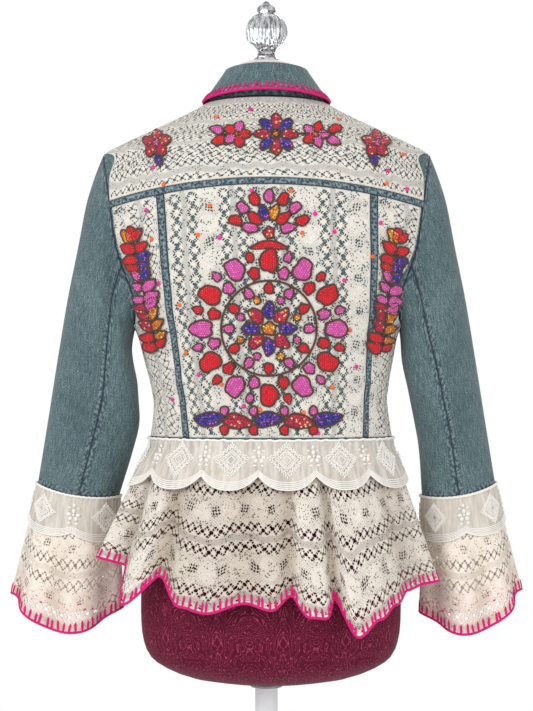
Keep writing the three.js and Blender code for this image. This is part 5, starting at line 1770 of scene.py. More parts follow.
@dataclass
class Sleeve:
    """A sleeve of two parts with its lace cuff and organza trim.

    inner_line holds the inner line's x at each row of the table, fold the place, width, depth
    and ends of the long fold, and hem the cuff's lower end in the table's columns.
    """

    name: str
    side: int
    inner_line: tuple
    fold: tuple
    folds: tuple
    hem: tuple
    blend: float = 0.14
    twist: float = 14.0
    seam: float = 107.3
    seam_gap: float = 0.25
    hem_dip: float = 6.0
    waves: int = 6
    wave: float = 5.0
    wave_phase: float = 70.0
    half_gap: float = 0.2
    dip_back: float = 37.0
    dip_front: float = 20.0
    trim_drop: float = 58.0
    trim_cusp: float = 10.0
    trim_radius: float = 52.0
    denim_cell: float = 5.0
    lace_cell: float = 2.3
    trim_cell: float = 3.4
    stitch_rows: tuple = (0.018, 0.045, 0.955, 0.982)

    def __post_init__(self) -> None:
        """Makes the smooth section of the sleeve."""
        self.section = curve_table([(*row[:3], inner, *row[3:])
                                    for row, inner in zip(SLEEVE_ROWS, self.inner_line)])

    def surface(self, angle: Array, t: Array) -> Array:
        """Outer face. Angle 0 is the outer side, 90 the back, 180 the inner side."""
        angle, t = np.broadcast_arrays(np.asarray(angle, float), np.asarray(t, float))
        s = self.section(np.clip(t, 0, 1))
        sine = np.sin(np.radians(angle))
        turned = np.radians(angle - self.twist * t * sine)
        outer_x, outer_z, inner_x, inner_z, half_depth, forward = np.moveaxis(s[..., 1:], -1, 0)
        x = (outer_x + inner_x) / 2 + (outer_x - inner_x) / 2 * np.cos(turned)
        y = forward - half_depth * np.sin(turned)
        z = ((outer_z + inner_z) / 2 + (outer_z - inner_z) / 2 * np.cos(turned)
             - self.hem_dip * t * t * np.sin(turned) ** 2)
        at, width, depth, start, end = self.fold
        along = smoothstep(t, start, start + 0.08) * (1 - smoothstep(t, end - 0.2, end))
        y = y + depth * np.exp(-(((angle - at) / width) ** 2)) * along
        point = np.stack([x * self.side, y, z], -1)
        height = mix(ARM_BOTTOM, ARM_TOP, 0.5 + np.cos(np.radians(angle)) / 2)
        loop = armhole_point(height, self.side, np.where(sine >= 0, -1, 1), -ARMHOLE_GAP,
                             np.full_like(height, DENIM))
        return mix(loop, point, smoothstep(t, 0, self.blend)[..., None])

    def creased(self, angle: Array, t: Array, out: Array) -> Array:
        """Point of the sleeve with its soft folds, moved out from the outer face."""
        lift = sum(fold.rise(angle, t) for fold in self.folds)
        held = smoothstep(t, 0.02, 0.1) * (1 - 0.7 * smoothstep(t, 0.9, 1.0))
        return moved_out(self.surface, angle, t, out + lift * held, turn=self.side,
                         step_a=5, step_b=0.03)

    def cuff_surface(self, angle: Array, v: Array) -> Array:
        """Outer face of the lace cuff: the sleeve's hem at v 0, and wider at v 1."""
        angle, v = np.broadcast_arrays(np.asarray(angle, float), np.asarray(v, float))
        top = self.section(np.array(1.0))[1:]
        s = [mix(a, b, v) for a, b in zip(top, self.hem)]
        sine, cosine = compass(angle)
        wave = self.wave * np.clip(v, 0, 1) * compass(self.waves * angle + self.wave_phase)[1]
        dip = np.where(sine > 0, mix(self.hem_dip, self.dip_back, v),
                       mix(self.hem_dip, self.dip_front, v))
        outer_x, outer_z, inner_x, inner_z, half_depth, forward = s
        return np.stack([
            self.side * ((outer_x + inner_x) / 2 + ((outer_x - inner_x) / 2 + wave) * cosine),
            forward - (half_depth + wave) * sine,
            (outer_z + inner_z) / 2 + (outer_z - inner_z) / 2 * cosine - dip * sine**2 - GAP,
        ], -1)

    def cuff_point(self, angle: Array, v: Array, out: Array) -> Array:
        """Point of the cuff, moved out."""
        return moved_out(self.cuff_surface, angle, v, out, turn=self.side,
                         step_a=4, step_b=0.03)

    def trim_point(self, u: Array, v: Array, out: Array) -> Array:
        """Point of the cuff's trim: u all round, v down to its scalloped edge."""
        angle = u * FULL_TURN
        scallop = np.abs(np.sin(np.radians(2 * angle)))
        drop = self.trim_drop - self.trim_cusp * (1 - scallop) ** 1.6
        length = np.linalg.norm(self.cuff_surface(angle, 1) - self.cuff_surface(angle, 0), axis=-1)
        return self.cuff_point(angle, v * drop / length, 1.2 + out)

    def build(self, finishes: Finishes) -> None:
        """Builds the sleeve's two parts, the cuff's two halves and the trim."""
        stitches = Scatter(f"sleeve_stitch_{self.name}", finishes.topstitch)
        spans = {"top": (-self.seam, self.seam),
                 "under": (self.seam, FULL_TURN - self.seam)}
        for half, (start, end) in spans.items():
            def part(u: Array, v: Array, out: Array, start: float = start,
                     end: float = end) -> Array:
                """A part of the sleeve between its seams."""
                angle = mix(start + self.seam_gap, end - self.seam_gap, u)
                return self.creased(angle, v, out)

            cloth = Cloth(f"denim_sleeve_{self.name}_{half}", part, (-DENIM, 0),
                          self.denim_cell)
            cloth.lay(finishes.denim, "denim", f"sleeve_{self.name}_{half}")
            if half == "top":
                for share in self.stitch_rows:
                    sew(stitches, part, "v", share, 0.0)
        stitches.build("denim")
        self.build_cuff(finishes)

    def build_cuff(self, finishes: Finishes) -> None:
        """Builds the lace flounce in two halves, with its blanket stitch and its trim."""
        for half, start in (("a", 0.0), ("b", HALF_TURN)):
            def flounce(u: Array, v: Array, out: Array, start: float = start) -> Array:
                """Half of the flounce."""
                angle = start + self.half_gap + u * (HALF_TURN - 2 * self.half_gap)
                return self.cuff_point(angle, v, out)

            def hollow(u: Array, v: Array, start: float = start) -> Array:
                """Painted shade by how deep in a wave the cloth lies: 0 on a crest, 1 in a hollow.
                """
                _, crest = compass(self.waves * (start + u * HALF_TURN) + self.wave_phase)
                return smoothstep(-crest, 0, 1.1) * smoothstep(v, 0.1, 0.6) * 0.4

            cloth = Cloth(f"lace_cuff_{self.name}_{half}", flounce, (-LACE, 0),
                          self.lace_cell, CUFF_LACE.cloth, reference=0.8, soft=True,
                          hollow=hollow)
            cloth.lay(finishes.cuff, "cuff_lace", f"cuff_flounce_{self.name}_{half}")
        whole = lambda u, v, out: self.cuff_point(u * FULL_TURN, v, out)
        blanket_stitch(f"cuff_stitch_{self.name}", whole, finishes, 0.0, -LACE, True, 8.2, 13.5)
        trim = Cloth(f"organza_cuff_{self.name}", self.trim_point, (0, TRIM),
                     self.trim_cell, closed=True)
        trim.lay(finishes.organza, "organza", f"cuff_trim_{self.name}")
        length = 2 * np.pi * self.trim_radius
        work = Embroidery(f"embroidery_cuff_{self.name}", self.trim_point, length,
                          self.trim_drop, TRIM, closed=True, half=17.5, middle=0.46)
        work.build(finishes, [0.125, 0.375, 0.625, 0.875], [0.0, 0.25, 0.5, 0.75])


@dataclass
class Embroidery:
    """White embroidery on an organza trim: diamonds, small flowers, corded edge, raw top."""

    name: str
    surface: Callable
    length: float
    drop: float
    level: float
    closed: bool
    half: float = 20.0
    middle: float = 0.42
    picots: int = 5
    cord_rows: tuple = (0.99, 0.952, 0.914, 0.876, 0.838)
    # Pairs: share of the diamond's half size, radius of the cord
    outlines: tuple = ((0.6, 0.9), (0.48, 0.5), (0.26, 0.7))

    def at(self, x: Array, z: Array, place: float, out: Array) -> Array:
        """Point at a distance along and down the trim from a place on it."""
        v = self.middle - np.asarray(z, float) / self.drop
        return self.surface(place + np.asarray(x, float) / self.length, v, self.level + out)

    def build(self, finishes: Finishes, diamonds: list[float], flowers: list[float]) -> None:
        """Builds the raised work.

        Args:
            finishes: the object's finishes.
            diamonds: places of the diamonds, as shares of the trim's length.
            flowers: places of the small flowers.
        """
        heap = Heap()
        loops = Scatter(self.name + "_picots", finishes.embroidery)
        for place in diamonds:
            for scale, radius in self.outlines:
                outline = self.diamond(self.half * scale)
                path = self.at(outline[:, 0], outline[:, 1], place, radius * 0.6)
                above = self.at(outline[:, 0], outline[:, 1], place, radius * 0.6 + 1)
                heap.add(*tube(path, unit(above - path), radius, 6, True))
            self.add_picots(loops, place)
        for place in flowers:
            self.add_flower(loops, place)
        self.add_cords(heap)
        worked = heap.object(self.name, [finishes.embroidery])
        outward(worked)
        settle(worked, "organza")
        loops.build("organza")

    @staticmethod
    def diamond(half: float) -> Array:
        """Outline of a diamond with slightly wavy sides."""
        angle = np.radians(np.arange(0, 360, 11.25))
        reach = half / (np.abs(np.cos(angle)) + np.abs(np.sin(angle)))
        reach = reach * (1 + 0.05 * np.cos(16 * angle))
        return np.stack([reach * np.cos(angle), reach * np.sin(angle)], -1)

    def add_loop(self, loops: Scatter, place: float, x: float, z: float, angle: float,
                 size: tuple) -> None:
        """Adds one raised loop of thread."""
        here = self.at(x, z, place, 0.35)[None]
        ahead = self.at(x + 0.5 * math.cos(angle), z + 0.5 * math.sin(angle), place, 0.35)[None]
        out = self.at(x, z, place, 1.35)[None]
        loops.add(here, ahead - here, out - here, size, THREAD_TINT)

    def add_picots(self, loops: Scatter, place: float) -> None:
        """Adds the pointed loops round a diamond, and the dots on its inner line."""
        for corner in range(4):
            start, end = math.radians(90 * corner), math.radians(90 * (corner + 1))
            for k in range(self.picots):
                along = k / self.picots
                x = mix(math.cos(start), math.cos(end), along)
                z = mix(math.sin(start), math.sin(end), along)
                lean = math.atan2(z, x)
                for turn, reach, side in ((-0.6, 0.9, -1.7), (0.0, 1.02, 0.0), (0.6, 0.9, 1.7)):
                    self.add_loop(loops, place, self.half * reach * x - side * math.sin(lean),
                                  self.half * reach * z + side * math.cos(lean), lean + turn,
                                  (2.7, 1.2, 1.1))
                for share, size in ((0.78, (1.6, 1.2, 1.1)), (0.42, (1.3, 0.9, 0.9))):
                    self.add_loop(loops, place, self.half * share * x, self.half * share * z,
                                  lean, size)

    def add_flower(self, loops: Scatter, place: float) -> None:
        """Adds a small flower of five petals with a bud over it."""
        for k in range(5):
            angle = math.radians(72 * k + 18)
            self.add_loop(loops, place, 5.8 * math.cos(angle), 5.8 * math.sin(angle) - 3, angle,
                          (3.9, 3.0, 1.2))
        self.add_loop(loops, place, 0, -3, 0.0, (2.0, 2.0, 1.8))
        self.add_loop(loops, place, 0, 11.5, math.pi / 2, (3.6, 2.2, 1.1))
        for side in (-1, 1):
            self.add_loop(loops, place, side * 4.4, -14.5, math.pi / 2 - side, (3.4, 1.7, 0.9))
            self.add_loop(loops, place, side * 5.4, 8.5, math.pi / 2 - side, (2.8, 1.5, 0.9))

    def add_cords(self, heap: Heap) -> None:
        """Adds the cords along the scallops, and the frayed line along the top."""
        u = np.linspace(0, 1, 360 if not self.closed else 200)
        if self.closed:
            u = u[:-1]
        for v, radius in [(row, 0.95 if row > 0.98 else 0.7) for row in self.cord_rows]:
            self.add_cord(heap, u, np.full_like(u, v), radius, 0.2)
        wave = 0.012 + 0.012 * np.sin(u * 420) * np.sin(u * 97)
        self.add_cord(heap, u, wave, 1.6, 0.5)

    def add_cord(self, heap: Heap, u: Array, v: Array, radius: float, out: float) -> None:
        """Adds one cord along places of the trim."""
        level = np.full_like(u, self.level + out)
        path = self.surface(u, v, level)
        normals = unit(self.surface(u, v, level + 1) - path)
        heap.add(*tube(path, normals, radius, 5, self.closed))


def pad(outline: Array, place: Callable, low: float, high: float) -> tuple[Array, list]:
    """A raised pad over an outline.

    Args:
        outline: pairs of local coordinates.
        place: gives the point for local coordinates and a level.
        low: level of its underside.
        high: level of its crown.

    Returns:
        Points and faces of one closed form.
    """
    centre = outline.mean(0)
    sides = len(outline)
    # Share of the outline, and share of the way up, at each ring
    steps = ((1.0, 0.0), (1.0, 0.45), (0.86, 0.85), (0.55, 1.0))
    rings = []
    for share, up in steps:
        ring = centre + (outline - centre) * share
        rings.append(place(ring[:, 0], ring[:, 1], np.full(sides, mix(low, high, up))))
    ends = [place(centre[:1], centre[1:], np.array([level])) for level in (low, high)]
    return np.concatenate([*rings, *ends]), bridge_to_ends(len(rings), sides)


# Peplum and its trim


# Columns: angle round the waist, how far out the fold stands, height of its hem
FOLDS = np.array([
    (0, -12, 800), (13, -9, 792), (27, -2, 790), (40, 20, 775), (52, -4, 790), (64, 18, 770),
    (74, -2, 785), (84, 10, 770), (90, 4, 778), (96, 10, 770), (106, -2, 785), (117, 18, 772),
    (129, -4, 790), (141, 18, 778), (154, -2, 792), (168, -14, 808), (180, -12, 818),
    (188, 4, 826), (196, 27, 829), (204, -2, 820), (214, 24, 774), (226, -6, 810), (237, 6, 775),
    (247, 6, 768), (261, 1, 781), (270, 5, 773), (277, -4, 790), (282.5, 20, 766),
    (288, 18, 764), (293, -6, 785), (299, 23, 740), (308, 19, 760), (317, 10, 775),
    (326, 2, 790), (336, 6, 796), (345, 17, 798), (353, 0, 800), (360, -12, 800),
], float)


def fold_at(angle: Array) -> tuple[Array, Array]:
    """How far out the fold at an angle stands, and the height of its hem."""
    turned = np.asarray(angle, float) % FULL_TURN
    i = np.clip(np.searchsorted(FOLDS[:, 0], turned, side="left") - 1, 0, len(FOLDS) - 2)
    share = np.clip((turned - FOLDS[i, 0]) / (FOLDS[i + 1, 0] - FOLDS[i, 0]), 0, 1)
    share = share * share * (3 - 2 * share)
    return (mix(FOLDS[i, 1], FOLDS[i + 1, 1], share), mix(FOLDS[i, 2], FOLDS[i + 1, 2], share))


@dataclass
class Peplum:
    """The lace peplum in deep folds, and the organza trim over its seam."""

    top: float = 966.6
    flare_side: float = 48.0
    flare_depth: float = 42.0
    opening: float = 1.5
    trim_low: float = 918.0
    trim_cusp: float = 18.0
    scallops: int = 12
    first_cusp: float = 264.4
    stand_off: float = 14.0
    front_cell: float = 3.2
    back_cell: float = 2.35
    trim_cell: float = 3.6

    @staticmethod
    def growth(v: Array) -> Array:
        """How much of a fold's depth there is at v."""
        return 0.1 + 0.9 * np.clip(v, 0, 1) ** 0.7

    def skirt(self, angle: Array, v: Array, out: Array, height: Array) -> Array:
        """Point of the flared skirt, moved out along the oval's own normal."""
        angle, v, out, height = np.broadcast_arrays(*(
            np.asarray(value, float) for value in (angle, v, out, height)))
        s = BODY_SECTION(np.array(WAIST))
        sine, cosine = compass(angle)
        half = s[1] + self.flare_side * v
        depth = np.where(sine > 0, s[3], s[2]) + self.flare_depth * v
        normal = unit(np.stack([cosine / half, sine / depth, np.zeros_like(sine)], -1))
        base = np.stack([s[6] + half * cosine, depth * sine, height], -1)
        return base + normal * out[..., None]

    def surface(self, angle: Array, v: Array) -> Array:
        """Inner face of the peplum."""
        angle, v = np.broadcast_arrays(np.asarray(angle, float), np.asarray(v, float))
        out, hem = fold_at(angle)
        return self.skirt(angle, v, out * self.growth(v), mix(self.top, hem, v))

    def point(self, angle: Array, v: Array, out: Array) -> Array:
        """Point of the peplum, moved out."""
        return moved_out(self.surface, angle, v, out, turn=-1, step_a=1, step_b=0.03)

    def trim_angle(self, u: Array) -> Array:
        """Angle on the trim: u runs all round from the front opening."""
        return 90 + self.opening + u * (FULL_TURN - 2 * self.opening)

    def scallop(self, angle: Array) -> Array:
        """Place on a scallop: 0 at its middle, -1 and 1 at its cusps."""
        fine = np.linspace(0, FULL_TURN, 721)
        ring = self.skirt(self.first_cusp + fine, 0.2, 0, self.trim_low)
        lengths = run_of(ring)
        length = np.interp((angle - self.first_cusp) % FULL_TURN, fine, lengths)
        return (length / lengths[-1] * self.scallops) % 1 * 2 - 1

    def trim_point(self, u: Array, v: Array, out: Array) -> Array:
        """Point of the organza trim: over the bodice, then over the folds."""
        angle = self.trim_angle(np.asarray(u, float))
        fold, hem = fold_at(angle)
        low = self.trim_low + self.trim_cusp * np.abs(self.scallop(angle)) ** 2.4
        height = mix(TRIM_TOP, low, v)
        below = np.clip((self.top - height) / (self.top - hem), 0, 1)
        early = self.growth(0) * (TRIM_TOP - height) / (TRIM_TOP - self.top)
        grown = np.where(height > self.top, early, self.growth(below))
        over = 1.4 * smoothstep(below, 0, 0.08)
        stand = OVERLAY[0] + over + grown * (fold / 2 + self.stand_off)
        return self.skirt(angle, below, stand + out, height)

    def build(self, finishes: Finishes) -> None:
        """Builds the three peplum parts, the blanket stitch, the trim and its embroidery."""
        pieces = {
            "peplum_front_right": (SEAM_ANGLE, 90 - self.opening, self.front_cell),
            "peplum_front_left": (90 + self.opening, HALF_TURN - SEAM_ANGLE,
                                    self.front_cell),
            "peplum_back": (HALF_TURN + SEAM_ANGLE, FULL_TURN - SEAM_ANGLE, self.back_cell),
        }
        for name, (start, end, cell) in pieces.items():
            def part(u: Array, v: Array, out: Array, start: float = start,
                     end: float = end) -> Array:
                """A part of the peplum."""
                return self.point(mix(start, end, u), v, out)

            def hollow(u: Array, v: Array, start: float = start, end: float = end) -> Array:
                """Painted shade by how deep in a fold the cloth lies: 0 on a crest, 1 in a hollow.
                """
                out, _ = fold_at(mix(start, end, u))
                return (1 - smoothstep(out, -8, 15)) * smoothstep(v, 0, 0.3)

            cloth = Cloth("lace_" + name, part, (0, LACE), cell, PEPLUM_LACE.cloth,
                          reference=0.7, soft=True, hollow=hollow)
            cloth.lay(finishes.peplum, "lace", name)
        whole = lambda u, v, out: self.point(self.trim_angle(u), v, out)
        blanket_stitch("peplum_stitch", whole, finishes, LACE, 0.0, False, 8.2, 13.0)
        trim = Cloth("organza_waist", self.trim_point, (0, TRIM), self.trim_cell)
        trim.lay(finishes.organza, "organza", "waist_trim")
        self.embroider(finishes)

    def embroider(self, finishes: Finishes) -> None:
        """Works the diamonds at the scallops' middles and the flowers at their cusps."""
        fine = np.linspace(0, 1, 2001)
        place = self.scallop(self.trim_angle(fine))
        middles = fine[1:][(place[:-1] < 0) & (place[1:] >= 0)]
        cusps = fine[1:][place[1:] < place[:-1] - 1]
        margin = 0.02
        path = self.trim_point(fine, np.full_like(fine, 0.5), np.ones_like(fine))
        length = run_of(path)[-1]
        inside = lambda values: [float(x) for x in values if margin < x < 1 - margin]
        work = Embroidery("embroidery_waist", self.trim_point, float(length),
                          TRIM_TOP - self.trim_low, TRIM, closed=False, half=20.5, middle=0.4)
        work.build(finishes, inside(middles), inside(cusps))


# Motifs


class Outline(Enum):
    """Outline of a motif's petal."""

    LEAF = "leaf"
    BERRY = "berry"
    TULIP = "tulip"
    BAR = "bar"


@dataclass(frozen=True)
class Petal:
    """One beaded or sequinned shape, outlined with brown cord."""

    x: float
    z: float
    angle: float
    length: float
    width: float
    tone: Tone
    kind: Outline = Outline.LEAF

    def outline(self) -> Array:
        """The outline's points in the view."""
        t = np.radians(np.arange(0, 360, 15.0))
        sine, cosine = np.sin(t), np.cos(t)
        if self.kind is Outline.LEAF:
            local = np.stack([cosine, sine * np.abs(sine) ** 0.15 * (1 - 0.25 * cosine)], -1)
        elif self.kind is Outline.BERRY:
            wave = 1 + 0.06 * np.cos(5 * t)
            local = np.stack([cosine * wave, sine * wave], -1)
        elif self.kind is Outline.TULIP:
            wave = 1 + 0.13 * np.cos(3 * t) - 0.1 * (cosine > 0.9)
            local = np.stack([cosine * wave, sine * wave * (1 + 0.3 * cosine)], -1)
        else:
            bow = 0.35 * np.cos(np.pi * cosine)
            local = np.stack([cosine, sine * np.abs(sine) ** 0.4 + bow], -1)
        uneven = 1 + 0.07 * np.sin(3 * t + self.x) + 0.05 * np.sin(5 * t + self.z)
        local = local * uneven[:, None]
        lean = math.radians(self.angle)
        x = local[:, 0] * self.length / 2
        z = local[:, 1] * self.width / 2
        return np.stack([self.x + x * math.cos(lean) - z * math.sin(lean),
                         self.z + x * math.sin(lean) + z * math.cos(lean)], -1)


def inside_outline(points: Array, outline: Array) -> Array:
    """Whether each point lies inside a closed outline."""
    a, b = outline, np.roll(outline, -1, 0)
    x, z = points[:, 0, None], points[:, 1, None]
    crosses = (a[:, 1] > z) != (b[:, 1] > z)
    rise = np.where(b[:, 1] == a[:, 1], 1e-9, b[:, 1] - a[:, 1])
    at = a[:, 0] + (z - a[:, 1]) * (b[:, 0] - a[:, 0]) / rise
    return (crosses & (x < at)).sum(1) % 2 == 1


@dataclass
class Motif:
    """A group of petals on cord stems that stands for one applique."""

    name: str
    petals: list[Petal]
    stems: list[Array] = field(default_factory=list)
    lift: float = 0.0
    low: float = 3.0
    high: float = 4.9
    cord: float = 1.4
    bead: tuple = (1.35, 1.1, 1.2)
    bead_step: float = 2.8
    sequin: tuple = (1.5, 1.5, 0.5)
    sequin_step: float = 2.9
    sequin_shift: float = 0.55
    sequin_tilt: float = 0.16
    filled: float = 0.84

    def build(self, finishes: Finishes, beads: dict[Tone, Scatter]) -> None:
        """Builds the felt, the cord and the beads.

        Args:
            finishes: the object's finishes.
            beads: what the beads of each tone are added to.
        """
        heap = Heap()
        tones = list(Tone)
        level = lambda x, z, out: on_back(x, z, out + self.lift)
        for petal in self.petals:
            outline = petal.outline()
            heap.add(*pad(outline, level, self.low, self.high), tones.index(petal.tone))
            self.add_cord(heap, level, outline, True, len(tones))
            self.add_beads(petal, outline, level, beads[petal.tone])
        for stem in self.stems:
            self.add_cord(heap, level, stem, False, len(tones))
        thing = heap.object("beaded_" + self.name,
                            [finishes.felt[tone] for tone in tones] + [finishes.cord])
        outward(thing)
        settle(thing, "applique", ("applique_" + self.name,))

    def add_cord(self, heap: Heap, level: Callable, line: Array, closed: bool, kind: int) -> None:
        """Lays a cord along a line in the view."""
        if not closed:
            steps = np.linspace(0, len(line) - 1, 6 * len(line))
            line = np.stack([np.interp(steps, np.arange(len(line)), line[:, k])
                             for k in (0, 1)], -1)
        path = level(line[:, 0], line[:, 1], np.full(len(line), self.low + 1.0))
        out = level(line[:, 0], line[:, 1], np.full(len(line), self.low + 2.0))
        heap.add(*tube(path, unit(out - path), self.cord, 6, closed), kind)

    def add_beads(self, petal: Petal, outline: Array, level: Callable, beads: Scatter) -> None:
        """Fills a petal with rows of beads, or with scattered sequins."""
        rows = petal.tone.beaded
        step = self.bead_step if rows else self.sequin_step
        lean = math.radians(petal.angle)
        reach = int(max(petal.length, petal.width) / step / 2) + 1
        i, j = np.meshgrid(np.arange(-reach, reach + 1), np.arange(-reach, reach + 1))
        a, b = (i + 0.5 * (j % 2)) * step, j * step
        x = petal.x + a * math.cos(lean) - b * math.sin(lean)
        z = petal.z + a * math.sin(lean) + b * math.cos(lean)
        spots = np.stack([x.ravel(), z.ravel()], -1)
        rng = np.random.default_rng(int(abs(petal.x * 7 + petal.z)))
        if not rows:
            spots = spots + rng.normal(0, self.sequin_shift, spots.shape)
        centre = outline.mean(0)
        inner = centre + (outline - centre) * self.filled
        spots = spots[inside_outline(spots, inner)]
        if not len(spots):
            return
        x, z = spots.T
        here = level(x, z, np.full(len(x), self.high + 0.1))
        out = level(x, z, np.full(len(x), self.high + 1.1)) - here
        ahead = level(x + math.cos(lean), z + math.sin(lean), np.full(len(x), self.high + 0.1))
        if not rows:
            out = unit(out) + rng.normal(0, self.sequin_tilt, out.shape)
        beads.add(here, ahead - here, out, self.bead if rows else self.sequin,
                  rng.random(len(x)))


@dataclass
class Motifs:
    """All motifs of the back: a made-up posy design in the jacket's colours."""

    centre_x: float = 3.0
    centre_z: float = 1120.0
    dot: tuple = (2.9, 2.9, 1.6)
    dot_lift: float = 0.6

    @staticmethod
    def arc(x: float, z: float, angles: list, radius: float, length: float, width: float,
            tones: tuple, kind: Outline) -> list[Petal]:
        """Petals on a circle at some angles, which point away from its centre."""
        return [
            Petal(x + radius * math.cos(math.radians(angle)),
                  z + radius * math.sin(math.radians(angle)), angle, length, width,
                  tones[i % len(tones)], kind)
            for i, angle in enumerate(angles)
        ]

    def ring(self, count: int, radius: float, length: float, width: float, tones: tuple,
             kind: Outline, start: float = 90.0, x: float | None = None,
             z: float | None = None) -> list[Petal]:
        """Petals that stand evenly on a circle, round the wreath's centre or another."""
        x = self.centre_x if x is None else x
        z = self.centre_z if z is None else z
        angles = [start + i * 360 / count for i in range(count)]
        return self.arc(x, z, angles, radius, length, width, tones, kind)

    def build(self, finishes: Finishes) -> None:
        """Builds every motif, then its beads and the dots on the lace."""
        beads = {
            tone: Scatter(tone.value + "_beads", finishes.beads[tone]) if tone.beaded
            else Scatter(tone.value + "_sequins", finishes.beads[tone], BeadShape.SEQUIN, 7)
            for tone in Tone
        }
        for motif in (self.rosette(), self.wreath(), self.crest(), *self.shoulders(),
                      self.garland(), self.yoke(), *self.sides()):
            motif.build(finishes, beads)
        for scatter in beads.values():
            scatter.build("applique")
        self.add_dots(finishes)

    def rosette(self) -> Motif:
        """An eight-petalled rosette in the middle of the wreath."""
        petals = self.ring(8, 23, 22, 15, (Tone.BLUE, Tone.CRIMSON), Outline.LEAF)
        petals += self.ring(8, 37.5, 9, 8, (Tone.ORANGE, Tone.PINK), Outline.BERRY, 112.5)
        petals += self.ring(1, 0, 16, 16, (Tone.ORANGE,), Outline.BERRY)
        return Motif("rosette", petals)

    def wreath(self) -> Motif:
        """A ring of leaves and berries round the rosette."""
        petals = self.ring(12, 83, 29, 22, (Tone.RED, Tone.PINK), Outline.TULIP)
        petals += self.ring(12, 70, 15, 13, (Tone.PINK, Tone.RED), Outline.BERRY, 75)
        petals += self.ring(12, 91, 13, 9, (Tone.PINK, Tone.RED), Outline.LEAF, 75)
        petals += self.ring(12, 50, 14, 11, (Tone.RED, Tone.PINK), Outline.LEAF)
        turn = np.radians(np.arange(0, 361, 5))
        stem = np.stack([self.centre_x + 59 * np.cos(turn), self.centre_z + 59 * np.sin(turn)], -1)
        return Motif("wreath", petals, [stem])

    def crest(self) -> Motif:
        """A fan of petals over the wreath."""
        petals = self.arc(3, 1240, [10, 42, 74, 106, 138, 170], 24, 20, 12,
                          (Tone.PINK, Tone.RED, Tone.ORANGE, Tone.BLUE, Tone.RED, Tone.PINK),
                          Outline.LEAF)
        petals += self.arc(3, 1240, [18, 42, 66, 90, 114, 138, 162], 43, 17, 12,
                           (Tone.RED, Tone.PINK), Outline.TULIP)
        petals.append(Petal(3, 1238, 90, 14, 13, Tone.CRIMSON, Outline.BERRY))
        petals.append(Petal(3, 1222, 0, 46, 9, Tone.RED, Outline.BAR))
        return Motif("crest", petals)

    def shoulders(self) -> list[Motif]:
        """A small flower on each shoulder."""
        return [
            Motif("shoulder_" + name,
                  self.ring(5, 11, 16, 14, (Tone.CRIMSON,), Outline.LEAF, 90, side * 138.0, 1352)
                  + [Petal(side * 138, 1352, 0, 8, 8, Tone.PINK, Outline.BERRY),
                     Petal(side * 134, 1330, -70, 14, 9, Tone.BLUE, Outline.LEAF)], lift=0.7)
            for name, side in (("left", -1), ("right", 1))
        ]

    def garland(self) -> Motif:
        """A long garland under the wreath."""
        x = [-70, -35, 3, 41, 76]
        petals = [
            Petal(place, 1004 + 1.5 * (-1) ** i, 8 * (-1) ** i, 36, 18,
                  (Tone.BLUE, Tone.CRIMSON)[i % 2], Outline.LEAF)
            for i, place in enumerate(x)
        ]
        petals += [Petal(place, 1004 + 12 * way, 90, 12, 10, tone, Outline.BERRY)
                   for place in (-52, -16, 22, 58)
                   for way, tone in ((-1, Tone.RED), (1, Tone.PINK))]
        stem = np.array([(-86, 1003), (-40, 1006), (3, 1002), (48, 1006), (92, 1003)], float)
        return Motif("garland", petals, [stem], 0.1)

    def yoke(self) -> Motif:
        """Three flowers in a row on the yoke."""
        petals = self.ring(8, 17, 21, 13, (Tone.CRIMSON, Tone.BLUE), Outline.LEAF, 90, 12, 1362)
        petals += self.ring(5, 10, 15, 12, (Tone.RED, Tone.PINK), Outline.LEAF, 0, -37, 1362)
        petals += self.ring(5, 10, 15, 12, (Tone.PINK, Tone.RED), Outline.LEAF, 0, 61, 1362)
        petals += [Petal(x, z, lean, 17, 11, tone, Outline.LEAF) for x, z, lean, tone in (
            (-62, 1368, 160, Tone.PINK), (-60, 1354, 200, Tone.RED),
            (86, 1370, 20, Tone.RED), (84, 1354, -20, Tone.PINK))]
        petals += [Petal(x, 1362, 0, 7, 7, Tone.ORANGE, Outline.BERRY) for x in (-37, 12, 61)]
        stem = np.array([(-54, 1362), (12, 1362), (80, 1364)], float)
        return Motif("yoke", petals, [stem])

    def sides(self) -> list[Motif]:
        """A climbing spray on each side panel."""
        motifs = []
        for name, low, high in (("left", (-136, 1092), (-168, 1238)),
                                ("right", (141, 1088), (163, 1236))):
            start, end = np.array(low, float), np.array(high, float)
            lean = math.degrees(math.atan2(*(end - start)[::-1]))
            petals = []
            for i in range(24):
                place = mix(start, end, (i // 2 + 0.4) / 12)
                way = lean + (58 if i % 2 else -58) + 20 * math.sin(2.4 * i)
                size = 0.82 + 0.34 * abs(math.sin(1.7 * i))
                tone = (Tone.RED, Tone.PINK, Tone.CRIMSON, Tone.RED, Tone.BLUE, Tone.PINK,
                        Tone.ORANGE)[(3 * i + i // 3) % 7]
                petals.append(Petal(place[0] + 9 * math.cos(math.radians(way)),
                                    place[1] + 9 * math.sin(math.radians(way)), way,
                                    18 * size, 11.5 * size, tone, Outline.LEAF))
            petals.append(Petal(*end, lean, 20, 13, Tone.RED, Outline.TULIP))
            motifs.append(Motif("side_" + name, petals, [np.array([low, high], float)], 0.8))
        return motifs

